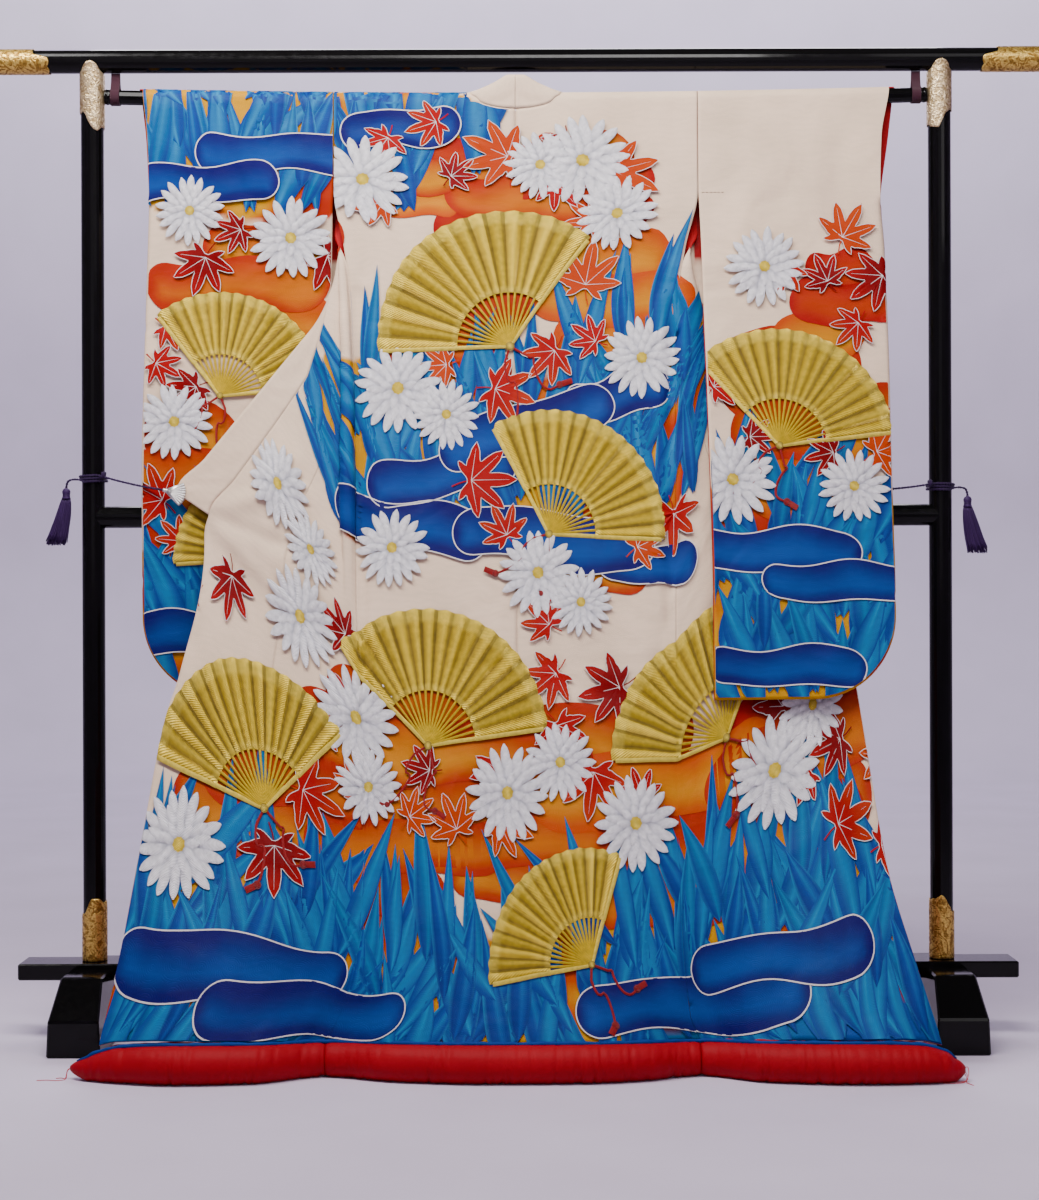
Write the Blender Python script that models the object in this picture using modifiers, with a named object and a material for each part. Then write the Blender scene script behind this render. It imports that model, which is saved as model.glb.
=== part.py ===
"""An uchikake wedding kimono hung on a lacquered kimono stand.

Metres, +Z up. X runs along the stand. The garment's back faces -Y, its fronts hang behind
the bar at +Y and are drawn out to the two posts by ties. The posts stand in the plane Y = 0
until the last step centres the whole object over the origin.
"""

import math

import bmesh
import bpy
from mathutils import Vector

# Stand
POST_X = 0.756
POST_RADIUS = 0.0203
RAIL_RADIUS = 0.0207
RAIL_Z = 1.7392
RAIL_HALF_LENGTH = 0.990
MID_RAIL_RADIUS = 0.0195
MID_RAIL_Z = 0.926
BAR_RADIUS = 0.0134
BAR_END_Z = 1.6762
BAR_HALF_LENGTH = 0.7325
BAR_SAG = 0.0100
STRAP_X = 0.7140
STRAP_WIDTH = 0.0160
STRAP_THICKNESS = 0.0012
BOARD_HALF_LENGTH = 0.885
BOARD_WIDTH = 0.084
BOARD_BOTTOM = 0.1060
BOARD_TOP = 0.1350
BLOCK_HALF_LENGTH = 0.200
BLOCK_TOP_HALF_LENGTH = 0.122
BLOCK_TOP = 0.1250
BLOCK_SHOULDER = 0.0620
BLOCK_TOP_WIDTH = 0.072
BLOCK_BASE_WIDTH = 0.093
TENON_RADIUS = 0.0130
TENON_BOTTOM = 0.0500
FITTING_WALL = 0.0012
TOP_FITTING_BOTTOM = 1.6180
TOP_FITTING_LAP = 0.0020
FOOT_FITTING_TOP = 0.2480
CAP_START = 0.8320
CAP_WALL = 0.0014

# Cloth
CLOTH = 0.0020
COLLAR_CLOTH = 0.0022
FIT = 0.0003
FOLD_RADIUS = BAR_RADIUS + FIT + CLOTH / 2 + 0.0002
COLLAR_FOLD_RADIUS = BAR_RADIUS + FIT + COLLAR_CLOTH / 2 + 0.0011
SHOULDER_X = 0.3230
SLIT_TOP = 1.503
SLIT_BOTTOM = 1.370
HEM_Y = -0.385
HANG_POWER = 1.8
WAVE_POWER = 6.0
SLEEVE_BOTTOM = 0.613
SLEEVE_CORNER = 0.135
CUFF_BOTTOM = 1.480
PLEAT_TOP = 1.400
PLEAT_BOTTOM = 0.740
PLEAT_HEIGHT = 0.013
PLEAT_WIDTH = 0.027
LEFT_ROLL_X = 0.3235
RIGHT_ROLL_X = 0.3160
TURN_REACH = 0.12
TURN_SPAN = 0.12

# Ties
TIE_RADIUS = 0.0023
TIE_TURNS = 2
TIE_PITCH = 0.0056
TASSEL_STRANDS = 30
CLIP_SLOT = 0.0054
CLIP_DEPTH = 0.0088
TASSEL_LENGTH = 0.088

# Side seams of the body
HEIGHT, LEFT_X, RIGHT_X = range(3)
SIDE_SEAMS = (
    (0.055, -0.3145, 0.2965),
    (0.093, -0.2930, 0.2800),
    (0.150, -0.2720, 0.2740),
    (0.220, -0.2600, 0.2700),
    (0.360, -0.2560, 0.2680),
    (0.776, -0.2770, 0.2740),
    (1.100, -0.2840, 0.2790),
    (1.300, -0.2910, 0.2850),
    (1.400, -0.3050, 0.3000),
    (SLIT_TOP, -SHOULDER_X, SHOULDER_X),
    (1.700, -SHOULDER_X, SHOULDER_X),
)

# Hem roll and hem line, from tip to tip: where it lies in depth, and its radius
PLACE, DEPTH, RADIUS = range(3)
HEM = (
    (-0.7280, -0.3620, 0.0040),
    (-0.7200, -0.3640, 0.0140),
    (-0.7060, -0.3680, 0.0215),
    (-0.6850, -0.3740, 0.0265),
    (-0.6400, -0.3860, 0.0305),
    (-0.5500, -0.4020, 0.0325),
    (-0.4300, -0.3930, 0.0318),
    (-0.3150, -0.3400, 0.0288),
    (-0.2000, -0.3800, 0.0312),
    (-0.0500, -0.4000, 0.0322),
    (0.1000, -0.3980, 0.0322),
    (0.2000, -0.3800, 0.0312),
    (0.2965, -0.3420, 0.0288),
    (0.4000, -0.3920, 0.0320),
    (0.5500, -0.4120, 0.0332),
    (0.6400, -0.4080, 0.0318),
    (0.6850, -0.4020, 0.0275),
    (0.7020, -0.3980, 0.0220),
    (0.7130, -0.3950, 0.0150),
    (0.7190, -0.3930, 0.0060),
)
ROLL_LIFT = 0.93
ROLL_SIDES = 12
HEM_LEFT_SEAM = -0.3150
HEM_RIGHT_SEAM = 0.2965

# Front edges: the collar's outer edge down to the collar's end, then the overlap's edge.
# One row for each height on the side seam that a crosswise thread starts from.
SIDE_Z, EDGE_X, EDGE_Y, EDGE_Z, SEAM_SHARE, OVERLAP_SHARE = range(6)
LEFT_EDGE = (
    (0.055, -0.6780, -0.3760, 0.0570, 1.000, 0.550),
    (0.150, -0.6520, -0.3300, 0.1960, 1.000, 0.550),
    (0.330, -0.6270, -0.2270, 0.4100, 1.000, 0.545),
    (0.460, -0.6050, -0.1640, 0.5700, 1.000, 0.535),
    (0.530, -0.5820, -0.1380, 0.6520, 1.000, 0.530),
    (0.700, -0.5480, -0.0740, 0.8640, 1.000, 0.490),
    (0.750, -0.5994, -0.0560, 0.9660, 0.810, 0.400),
    (0.840, -0.5500, -0.0530, 1.0270, 0.790, 0.400),
    (1.000, -0.4480, -0.0460, 1.1520, 0.740, 0.320),
    (1.150, -0.3790, -0.0370, 1.2370, 0.660, 0.300),
    (1.250, -0.3380, -0.0290, 1.2870, 0.580, 0.330),
    (1.300, -0.3120, -0.0200, 1.3190, 0.540, 0.340),
    (SLIT_BOTTOM, -0.2650, -0.0040, 1.3770, 0.500, 0.360),
    (SLIT_TOP, -0.1600, 0.0130, SLIT_TOP, 0.620, 0.450),
    (1.600, -0.0850, 0.0162, 1.6000, 0.700, 0.520),
    (1.666, -0.0340, 0.0170, 1.6660, 0.822, 0.620),
)
RIGHT_EDGE = (
    (0.055, 0.6820, -0.3950, 0.0580, 1.000, 0.550),
    (0.140, 0.6510, -0.3280, 0.1820, 1.000, 0.550),
    (0.260, 0.6180, -0.2560, 0.3260, 1.000, 0.545),
    (0.490, 0.5890, -0.1240, 0.6110, 1.000, 0.535),
    (0.700, 0.5480, -0.0540, 0.8640, 1.000, 0.490),
    (0.750, 0.5994, -0.0340, 0.9660, 0.810, 0.400),
    (0.840, 0.5500, -0.0300, 1.0270, 0.790, 0.400),
    (1.000, 0.4480, -0.0220, 1.1520, 0.740, 0.320),
    (1.150, 0.3790, -0.0140, 1.2370, 0.660, 0.300),
    (1.250, 0.3380, -0.0060, 1.2870, 0.580, 0.330),
    (1.300, 0.3120, -0.0020, 1.3190, 0.540, 0.340),
    (SLIT_BOTTOM, 0.2650, 0.0040, 1.3770, 0.500, 0.360),
    (SLIT_TOP, 0.1600, 0.0150, SLIT_TOP, 0.620, 0.450),
    (1.600, 0.0780, 0.0162, 1.6000, 0.700, 0.520),
    (1.666, 0.0340, 0.0170, 1.6660, 0.822, 0.620),
)
COLLAR_END = 0.750
OVERLAP_TOP = 1.250

# Sleeves: how far the near layer and the far layer hang in depth, at the inner and outer edge
SLEEVE_Z, NEAR_INNER, NEAR_OUTER, FAR_INNER, FAR_OUTER = range(5)
LEFT_SLEEVE = (
    (0.610, -0.0400, -0.0380, -0.0260, -0.0240),
    (0.900, -0.0380, -0.0370, -0.0230, -0.0225),
    (1.000, -0.0360, -0.0360, -0.0215, -0.0215),
    (1.200, -0.0230, -0.0230, -0.0080, -0.0080),
    (1.300, -0.0160, -0.0165, 0.0010, 0.0005),
    (1.420, -0.0150, -0.0130, 0.0090, 0.0080),
    (SLIT_TOP, -0.0205, -0.0125, 0.0150, 0.0125),
    (1.580, -0.0175, -0.0145, 0.0155, 0.0140),
    (1.676, -FOLD_RADIUS, -FOLD_RADIUS, FOLD_RADIUS, FOLD_RADIUS),
)
RIGHT_SLEEVE = (
    (0.610, -0.2010, -0.1500, -0.1870, -0.1360),
    (0.800, -0.1600, -0.0980, -0.1460, -0.0840),
    (0.965, -0.1190, -0.0660, -0.1050, -0.0520),
    (1.150, -0.0830, -0.0410, -0.0680, -0.0260),
    (1.300, -0.0450, -0.0270, -0.0260, -0.0080),
    (1.420, -0.0290, -0.0190, -0.0040, 0.0050),
    (SLIT_TOP, -0.0205, -0.0150, 0.0150, 0.0110),
    (1.580, -0.0175, -0.0145, 0.0155, 0.0140),
    (1.676, -FOLD_RADIUS, -FOLD_RADIUS, FOLD_RADIUS, FOLD_RADIUS),
)
# Sleeve edges: inner edge, and the outer edge of the near and the far layer
OUTLINE_Z, INNER_X, NEAR_X, FAR_X = range(4)
LEFT_OUTLINE = (
    (0.610, 0.3290, 0.6620, 0.6620),
    (1.000, 0.3290, 0.6640, 0.6640),
    (1.300, 0.3285, 0.6590, 0.6590),
    (CUFF_BOTTOM, 0.3260, 0.6540, 0.6550),
    (SLIT_TOP, SHOULDER_X + FIT, 0.6535, 0.6560),
    (1.600, SHOULDER_X + FIT, 0.6560, 0.6600),
    (1.676, SHOULDER_X + FIT, 0.6640, 0.6660),
    (1.700, SHOULDER_X + FIT, 0.6650, 0.6665),
)
RIGHT_OUTLINE = (
    (0.610, 0.3345, 0.6520, 0.6520),
    (0.850, 0.3370, 0.6600, 0.6600),
    (1.150, 0.3330, 0.6600, 0.6600),
    (1.400, 0.3280, 0.6550, 0.6560),
    (CUFF_BOTTOM, 0.3250, 0.6490, 0.6510),
    (SLIT_TOP, SHOULDER_X + FIT, 0.6480, 0.6530),
    (1.600, SHOULDER_X + FIT, 0.6520, 0.6660),
    (1.676, SHOULDER_X + FIT, 0.6700, 0.6740),
    (1.700, SHOULDER_X + FIT, 0.6725, 0.6745),
)

# Collar round the back of the neck: seam line and outer edge, from the middle to the far side
SEAM_X, SEAM_TURN, SEAM_DROP, RIM_X, RIM_Y, RIM_Z = range(6)
NECK = (
    (0.0000, 90.0, 0.0160, 0.000, -0.0150, 1.7105),
    (0.0291, 90.0, 0.0130, 0.016, -0.0145, 1.7100),
    (0.0581, 90.0, 0.0060, 0.030, -0.0130, 1.7020),
    (0.0700, 72.0, 0.0010, 0.037, -0.0110, 1.6980),
    (0.0790, 50.0, 0.0000, 0.042, -0.0090, 1.6950),
    (0.0820, 0.0, 0.0000, 0.048, 0.0020, 1.6890),
    (0.0821, -6.0, 0.0000, 0.048, 0.0030, 1.6885),
    (0.0830, -30.0, 0.0000, 0.046, 0.0100, 1.6840),
    (0.0840, -60.0, 0.0000, 0.040, 0.0155, 1.6760),
)

# Levels of the crosswise threads, from the bar to the hem
UPPER_LEVELS = (1.666, 1.635, 1.600, 1.550, SLIT_TOP, 1.470, 1.440, 1.400)
LOWER_LEVELS = (
    SLIT_BOTTOM, 1.335, 1.300, 1.250, 1.200, 1.150, 1.080, 1.000, 0.920, 0.840, 0.790, COLLAR_END,
    0.700, 0.620, 0.530, 0.460, 0.390, 0.320, 0.260, 0.200, 0.150, 0.110, 0.080, 0.055,
)
BACK_COLUMNS = (0.0, 0.09, 0.18, 0.26, 0.44, 0.63, 0.82, 1.0)
PLEAT_PLACE, PLEAT_RISE, PLEAT_LEAN = range(3)
PLEAT = (
    (0.00, 0.00, 0.00),
    (0.12, 0.00, 0.00),
    (0.36, 0.80, 0.00),
    (0.66, 1.00, 0.15),
    (0.92, 0.60, 0.45),
    (1.05, 0.00, 0.15),
)
FOLD_TURNS = (90.0, 60.0, 30.0, 6.0, 0.0)
SLEEVE_LEVELS = (
    1.640, 1.600, 1.550, SLIT_TOP, CUFF_BOTTOM + 0.005, CUFF_BOTTOM, 1.420, 1.350, 1.280, 1.200, 1.100,
    1.000, 0.900, 0.820,
)
SLEEVE_CORNER_STEPS = (0.0, 22.0, 42.0, 60.0, 76.0, 90.0)
SLEEVE_COLUMNS = (0.0, 0.17, 0.34, 0.51, 0.68, 0.84, 1.0)
CURL_TURNS = (0.0, 42.0, 80.0, 90.0)
SEAM_GAP = 0.0003
COLLAR_GAP = 0.0026
CURL_GAP = 0.00025


def new_collection(name):
    collection = bpy.data.collections.new(name)
    bpy.context.scene.collection.children.link(collection)
    return collection


def new_material(name, colour, roughness, metallic=0.0):
    material = bpy.data.materials.new(name)
    material.use_nodes = True
    shader = material.node_tree.nodes["Principled BSDF"]
    shader.inputs["Base Color"].default_value = (*colour, 1.0)
    shader.inputs["Roughness"].default_value = roughness
    shader.inputs["Metallic"].default_value = metallic
    return material


def add_mesh(name, bm, look, collection=None):
    """Turn a bmesh into an object with a material of its own."""
    mesh = bpy.data.meshes.new(name)
    bm.to_mesh(mesh)
    bm.free()
    thing = bpy.data.objects.new(name, mesh)
    (collection or PARTS).objects.link(thing)
    if look:
        mesh.materials.append(new_material(name, *look))
    return thing


def reading(table, key, column):
    """A table's column read smoothly at a key that may lie between its rows."""
    keys = [row[0] for row in table]
    values = [row[column] for row in table]
    if key <= keys[0]:
        return values[0]
    if key >= keys[-1]:
        return values[-1]
    last = len(keys) - 1
    slopes = [(values[i + 1] - values[i]) / (keys[i + 1] - keys[i]) for i in range(last)]
    upper = next(i for i, k in enumerate(keys) if k > key)
    lower = upper - 1

    def tangent(i):
        if i in (0, last):
            return slopes[min(i, last - 1)]
        if slopes[i - 1] * slopes[i] <= 0:
            return 0.0
        return 2 * slopes[i - 1] * slopes[i] / (slopes[i - 1] + slopes[i])

    span = keys[upper] - keys[lower]
    t = (key - keys[lower]) / span
    rise = values[upper] - values[lower]
    start = tangent(lower) * span
    end = tangent(upper) * span
    return values[lower] + start * t + (3 * rise - 2 * start - end) * t**2 + (start + end - 2 * rise) * t**3


def bar_z(x):
    """Height of the bar's axis, which the garment's weight bows."""
    return BAR_END_Z - BAR_SAG * (1 - min(abs(x) / BAR_HALF_LENGTH, 1.0) ** 2)


def folded(x, turn, radius=FOLD_RADIUS):
    """A point of cloth folded over the bar: 90 degrees is the near side, -90 the far side."""
    angle = math.radians(turn)
    return Vector((x, -radius * math.sin(angle), bar_z(x) + radius * math.cos(angle)))


def hem_z(x):
    """Height of the panels' lower edge, just above the hem roll."""
    flat_top = math.cos(math.pi / ROLL_SIDES)
    return (ROLL_LIFT + flat_top) * reading(HEM, x, RADIUS) + SEAM_GAP * 2


def fall(z):
    """How far down the hang a height is: 0 at the bar and 1 at the hem."""
    return min(max((1.666 - z) / (1.666 - 0.055), 0.0), 1.0)


def hem_wave(x, z):
    """The hem's waves in depth, dying out upwards."""
    return (reading(HEM, x, DEPTH) - HEM_Y) * fall(z) ** WAVE_POWER


def back_y(x, z):
    return -FOLD_RADIUS + (HEM_Y + FOLD_RADIUS) * fall(z) ** HANG_POWER + hem_wave(x, z)


def closed_quads(bm, rows, ring=False):
    """Join neighbouring rows of points with quads; a missing point leaves its cells open."""
    made = [[bm.verts.new(p) if p is not None else None for p in row] for row in rows]
    for upper, lower in zip(made, made[1:]):
        count = len(upper)
        for i in range(count if ring else count - 1):
            j = (i + 1) % count
            corners = (upper[i], lower[i], lower[j], upper[j])
            if all(corners):
                bm.faces.new(corners)
    return made


def inset(rows, gap):
    """Draw the edges of a grid of points in by half a seam gap."""
    moved = [[p.copy() if p is not None else None for p in row] for row in rows]

    def draw(line, target, at):
        known = [i for i, p in enumerate(line) if p is not None]
        if len(known) < 2:
            return
        for edge, inner in ((known[0], known[1]), (known[-1], known[-2])):
            way = (line[inner] - line[edge]).normalized()
            target(edge, at, way * gap / 2)

    def shift_in_row(i, r, way):
        moved[r][i] += way

    def shift_in_column(r, i, way):
        moved[r][i] += way

    for r, row in enumerate(rows):
        draw(row, shift_in_row, r)
    for i in range(len(rows[0])):
        draw([row[i] for row in rows], shift_in_column, i)
    return moved


def sheet_normals(rows):
    """The way a sheet faces at each of its points."""
    normals = []
    for r, row in enumerate(rows):
        line = []
        for c, point in enumerate(row):
            if point is None:
                line.append(None)
                continue

            def beside(rr, cc, point=point):
                inside = 0 <= rr < len(rows) and 0 <= cc < len(rows[rr])
                return rows[rr][cc] if inside and rows[rr][cc] is not None else point

            along = beside(r, c + 1) - beside(r, c - 1)
            down = beside(r + 1, c) - beside(r - 1, c)
            line.append(along.cross(down).normalized())
        normals.append(line)
    return normals


def cloth_wall(name, rows, normals, keep, look, thickness=CLOTH, gap=SEAM_GAP):
    """A wall through the kept part of a sheet; seams with the rest of the sheet stay parallel."""
    kept = [[p if keep(r, c) else None for c, p in enumerate(row)] for r, row in enumerate(rows)]
    cells = []
    for r in range(len(kept) - 1):
        for c in range(len(kept[r]) - 1):
            corners = ((r, c), (r + 1, c), (r + 1, c + 1), (r, c + 1))
            if all(kept[i][j] is not None for i, j in corners):
                cells.append(corners)
    used = {corner for corners in cells for corner in corners}
    held = [[p if (r, c) in used else None for c, p in enumerate(row)] for r, row in enumerate(kept)]
    points = inset(held, gap)
    bm = bmesh.new()
    faces = []
    for way in (0.5, -0.5):
        shift = thickness * way
        faces.append({(r, c): bm.verts.new(points[r][c] + normals[r][c] * shift) for r, c in sorted(used)})
    outer, inner = faces
    edges = set()
    for corners in cells:
        bm.faces.new([outer[k] for k in corners])
        bm.faces.new([inner[k] for k in corners[::-1]])
        edges.update(zip(corners, corners[1:] + corners[:1]))
    for start, end in edges:
        if (end, start) not in edges:
            bm.faces.new((outer[end], outer[start], inner[start], inner[end]))
    bmesh.ops.recalc_face_normals(bm, faces=bm.faces[:])
    return add_mesh(name, bm, look)


def cloth(name, grids, look, thickness=CLOTH, outward=(0, -1, 0)):
    """A wall of cloth through grids of points that share their edges."""
    bm = bmesh.new()
    for rows in grids:
        closed_quads(bm, rows)
    bmesh.ops.remove_doubles(bm, verts=bm.verts[:], dist=0.00005)
    bmesh.ops.recalc_face_normals(bm, faces=bm.faces[:])
    lead = sum((f.normal * f.calc_area() for f in bm.faces), Vector())
    if lead.dot(Vector(outward)) < 0:
        bmesh.ops.reverse_faces(bm, faces=bm.faces[:])
    thing = add_mesh(name, bm, look)
    wall = thing.modifiers.new("wall", "SOLIDIFY")
    wall.thickness = thickness
    wall.offset = 0.0
    return thing


# Body of the garment


def back_rows(side):
    """One back length, from the centre-back seam to the side seam."""
    column = LEFT_X if side < 0 else RIGHT_X
    rows = []
    for turn in FOLD_TURNS[:0:-1]:
        row = []
        for share in BACK_COLUMNS:
            x = side * SHOULDER_X * share
            row.append(folded(x, turn) if share >= BACK_COLUMNS[3] else None)
        rows.append(row)
    levels = UPPER_LEVELS + LOWER_LEVELS
    for level in levels:
        row = []
        for share in BACK_COLUMNS:
            x = reading(SIDE_SEAMS, level, column) * share
            top = bar_z(x)
            if share < BACK_COLUMNS[3]:
                top = neck_seam(x).z
            lift = (top - levels[0]) * max(0.0, 1 - (levels[0] - level) / 0.066)
            z = level + lift + (hem_z(x) - levels[-1]) * fall(level) ** 12
            row.append(Vector((x, back_y(x, level), z)))
        rows.append(row)
    return rows


def neck_seam(x):
    """The collar's seam line on the back of the neck."""
    drop = reading(NECK, abs(x), SEAM_DROP)
    return Vector((x, -FOLD_RADIUS, bar_z(x) - drop))


def front_point(side, level, share):
    """A point of a front, share of the way from its side seam to its edge."""
    table = LEFT_EDGE if side < 0 else RIGHT_EDGE
    column = LEFT_X if side < 0 else RIGHT_X
    start_x = reading(SIDE_SEAMS, level, column)
    behind = min(max((level - SLIT_BOTTOM) / (SLIT_TOP - SLIT_BOTTOM), 0.0), 1.0)
    behind = behind * behind * (3 - 2 * behind)
    start_x += (side * (SHOULDER_X - 0.0006) - start_x) * min(behind * 3, 1.0)
    start_y = back_y(start_x, level) * (1 - behind) + (FOLD_RADIUS + 0.0006) * behind
    start_z = level + (hem_z(start_x) - 0.055) * fall(level) ** 12
    start = Vector((start_x, start_y, start_z))
    end = Vector(reading(table, level, c) for c in (EDGE_X, EDGE_Y, EDGE_Z))
    reach = (end.x - start.x) * side
    turning = min(max((TURN_REACH - reach) / TURN_SPAN, 0.0), 1.0) * (1 - behind)
    pull = 0.30 * reach * (1 - turning)
    drop = 0.30 * (end.z - start.z) * (1 - turning)
    roll_x = LEFT_ROLL_X if side < 0 else RIGHT_ROLL_X
    bulge = max(roll_x - abs(start.x), 0.0) / 0.72 * turning
    out = Vector((side * (pull + bulge), -0.006 * turning, drop))
    back = Vector((side * (bulge - min(reach, 0.0) * turning * 0.6 - pull), -0.012 * turning, -drop))
    if behind >= 1.0 or reach < 0 and turning == 0:
        out = (end - start) * 0.3
        back = (start - end) * 0.3
    first, second = start + out, end + back
    t = share
    point = (
        start * (1 - t) ** 3 + first * 3 * t * (1 - t) ** 2 + second * 3 * t * t * (1 - t) + end * t**3
    )
    if level < SLIT_BOTTOM:
        wave = hem_wave(point.x, level)
        straight = hem_wave(start.x, level) * (1 - t) + hem_wave(end.x, level) * t
        point.y += wave - straight
        point.z += (hem_z(point.x) - hem_z(start.x) * (1 - t) - hem_z(end.x) * t) * fall(level) ** 12
    return point


def pleat_strength(level):
    """How far the rolled fold beside the left side seam stands out at a height."""
    run = (level - PLEAT_BOTTOM) / (PLEAT_TOP - PLEAT_BOTTOM)
    if not 0 < run < 1:
        return 0.0
    return min(run * 3, 1.0) * min((1 - run) * 5, 1.0)


def front_rows(side):
    """A whole front with its overlap and collar, row by row from the bar to the hem."""
    table = LEFT_EDGE if side < 0 else RIGHT_EDGE
    rows = []
    for level in UPPER_LEVELS + LOWER_LEVELS:
        seam = reading(table, level, SEAM_SHARE)
        overlap = reading(table, level, OVERLAP_SHARE)
        length = (front_point(side, level, 1.0) - front_point(side, level, 0.0)).length
        width = min(PLEAT_WIDTH / max(length, 0.05), overlap * 0.45)
        near = [width * place[PLEAT_PLACE] for place in PLEAT]
        wide = [near[-1] + (overlap - near[-1]) * c for c in (0.34, 0.67, 1.0)]
        gore = [overlap + (seam - overlap) * c for c in (0.34, 0.67, 1.0)]
        band = [seam + (1 - seam) * c for c in (0.33, 0.67, 1.0)] if seam < 1 else [None] * 3
        strength = pleat_strength(level) if side < 0 else 0.0
        row = []
        for c, share in enumerate(near + wide + gore + band):
            point = front_point(side, level, share) if share is not None else None
            if c < len(PLEAT) and strength:
                point.y -= PLEAT_HEIGHT * strength * PLEAT[c][PLEAT_RISE]
                point.x += side * PLEAT_HEIGHT * strength * PLEAT[c][PLEAT_LEAN]
            row.append(point)
        rows.append(row)
    return rows


FRONT_END = len(PLEAT) + 2
GORE_END = FRONT_END + 3


def over_rows(side, first):
    """The collar round the back of the neck, then the front's fold over the bar beside it."""
    rows = []
    for place in NECK:
        turn = place[SEAM_TURN]
        seam = folded(side * place[SEAM_X], turn, COLLAR_FOLD_RADIUS) - Vector((0, 0, place[SEAM_DROP]))
        rim = Vector((side * place[RIM_X], place[RIM_Y], place[RIM_Z]))
        front = [folded(p.x, turn) if turn <= 0 else None for p in first[:GORE_END]]
        rows.append(front + [seam.lerp(rim, share) for share in (0.0, 0.33, 0.67, 1.0)])
    return rows


def everywhere(r, c):
    return True


def build_body():
    levels = UPPER_LEVELS + LOWER_LEVELS
    collar_last = levels.index(COLLAR_END) + len(NECK)
    overlap_first = levels.index(OVERLAP_TOP) + len(NECK)
    for side, word in ((-1, "left"), (1, "right")):
        rows = back_rows(side)
        cloth_wall(f"back_{word}", rows, sheet_normals(rows), everywhere, (CREAM, 0.45))
        rows = front_rows(side)
        sheet = over_rows(side, rows[0]) + rows
        normals = sheet_normals(sheet)
        cloth_wall(
            f"front_{word}", sheet, normals,
            lambda r, c: c <= FRONT_END or (r <= overlap_first and c <= GORE_END), (BLUE, 0.45),
        )
        cloth_wall(
            f"overlap_{word}", sheet, normals,
            lambda r, c: FRONT_END <= c <= GORE_END and r >= overlap_first, (TURQUOISE, 0.45),
        )
        cloth_wall(
            f"collar_{word}", sheet, normals, lambda r, c: c >= GORE_END and r <= collar_last,
            (CREAM, 0.45), COLLAR_CLOTH, COLLAR_GAP,
        )


# Sleeves


def sleeve_point(side, layer, z, share, x=None):
    """A point of a sleeve's near (-1) or far (+1) layer."""
    outline = LEFT_OUTLINE if side < 0 else RIGHT_OUTLINE
    hang = LEFT_SLEEVE if side < 0 else RIGHT_SLEEVE
    inner = reading(outline, z, INNER_X)
    outer = reading(outline, z, NEAR_X if layer < 0 else FAR_X)
    if x is None:
        x = inner + (outer - inner) * share
    along = min(max((x - inner) / (outer - inner), 0.0), 1.0)
    near = [reading(hang, z, NEAR_INNER), reading(hang, z, NEAR_OUTER)]
    far = [reading(hang, z, FAR_INNER), reading(hang, z, FAR_OUTER)]
    chosen = near if layer < 0 else far
    y = chosen[0] * (1 - along) + chosen[1] * along
    middle = (near[0] + far[0]) / 2 * (1 - along) + (near[1] + far[1]) / 2 * along
    return Vector((side * x, y, z)), middle


def curled(side, point, middle, way):
    """Points that carry a layer's edge round to meet the other layer."""
    half = abs(point.y - middle)
    layer = -1 if point.y < middle else 1
    points = []
    for turn in CURL_TURNS:
        angle = math.radians(turn)
        y = middle + layer * max(half * math.cos(angle), CURL_GAP)
        points.append(Vector((point.x, y, point.z)) + way * half * math.sin(angle))
    return points


def build_sleeve(side, layer):
    outline = LEFT_OUTLINE if side < 0 else RIGHT_OUTLINE
    corner_z = SLEEVE_BOTTOM + SLEEVE_CORNER
    rows, edge = [], []
    for turn in FOLD_TURNS[:0:-1] + (90.0,):
        row = []
        for share in SLEEVE_COLUMNS:
            z = 1.69 if turn < 90 else 1.676
            point, _ = sleeve_point(side, layer, z, share)
            fold = folded(point.x, -layer * turn)
            if turn == 0:
                fold.y = layer * SEAM_GAP / 2
            row.append(fold)
        rows.append(row)
    stretches = [(z, 0.0) for z in SLEEVE_LEVELS]
    for turn in SLEEVE_CORNER_STEPS:
        z = corner_z - SLEEVE_CORNER * math.sin(math.radians(turn))
        stretches.append((z, SLEEVE_CORNER * (1 - math.cos(math.radians(turn)))))
    for z, narrowing in stretches:
        inner = reading(outline, z, INNER_X)
        edge_x = reading(outline, z, NEAR_X if layer < 0 else FAR_X)
        limit, middle = sleeve_point(side, layer, z, 1.0)
        tuck = abs(limit.y - middle) * min(max(1 - (z - CUFF_BOTTOM) / 0.005, 0.0), 1.0)
        outer = edge_x - narrowing - tuck * (1 - narrowing / SLEEVE_CORNER)
        row = []
        for share in SLEEVE_COLUMNS:
            point, middle = sleeve_point(side, layer, z, share, inner + (outer - inner) * share)
            row.append(point)
        rows.append(row)
        if z <= CUFF_BOTTOM:
            bend = math.acos(1 - narrowing / SLEEVE_CORNER)
            way = Vector((side * math.cos(bend), 0, -math.sin(bend)))
            edge.append(curled(side, point, middle, way))
    bottom = []
    for share in SLEEVE_COLUMNS:
        z = SLEEVE_BOTTOM
        inner = reading(outline, z, INNER_X)
        outer = reading(outline, z, NEAR_X) - SLEEVE_CORNER
        point, middle = sleeve_point(side, layer, z, share, inner + (outer - inner) * share)
        bottom.append(curled(side, point, middle, Vector((0, 0, -1))))
    word = "left" if side < 0 else "right"
    kind = "back" if layer < 0 else "front"
    colour = TURQUOISE if layer < 0 else CREAM
    cloth(f"sleeve_{word}_{kind}", [rows, edge, bottom], (colour, 0.45), outward=(0, layer, 0))


# Hem roll


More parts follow.
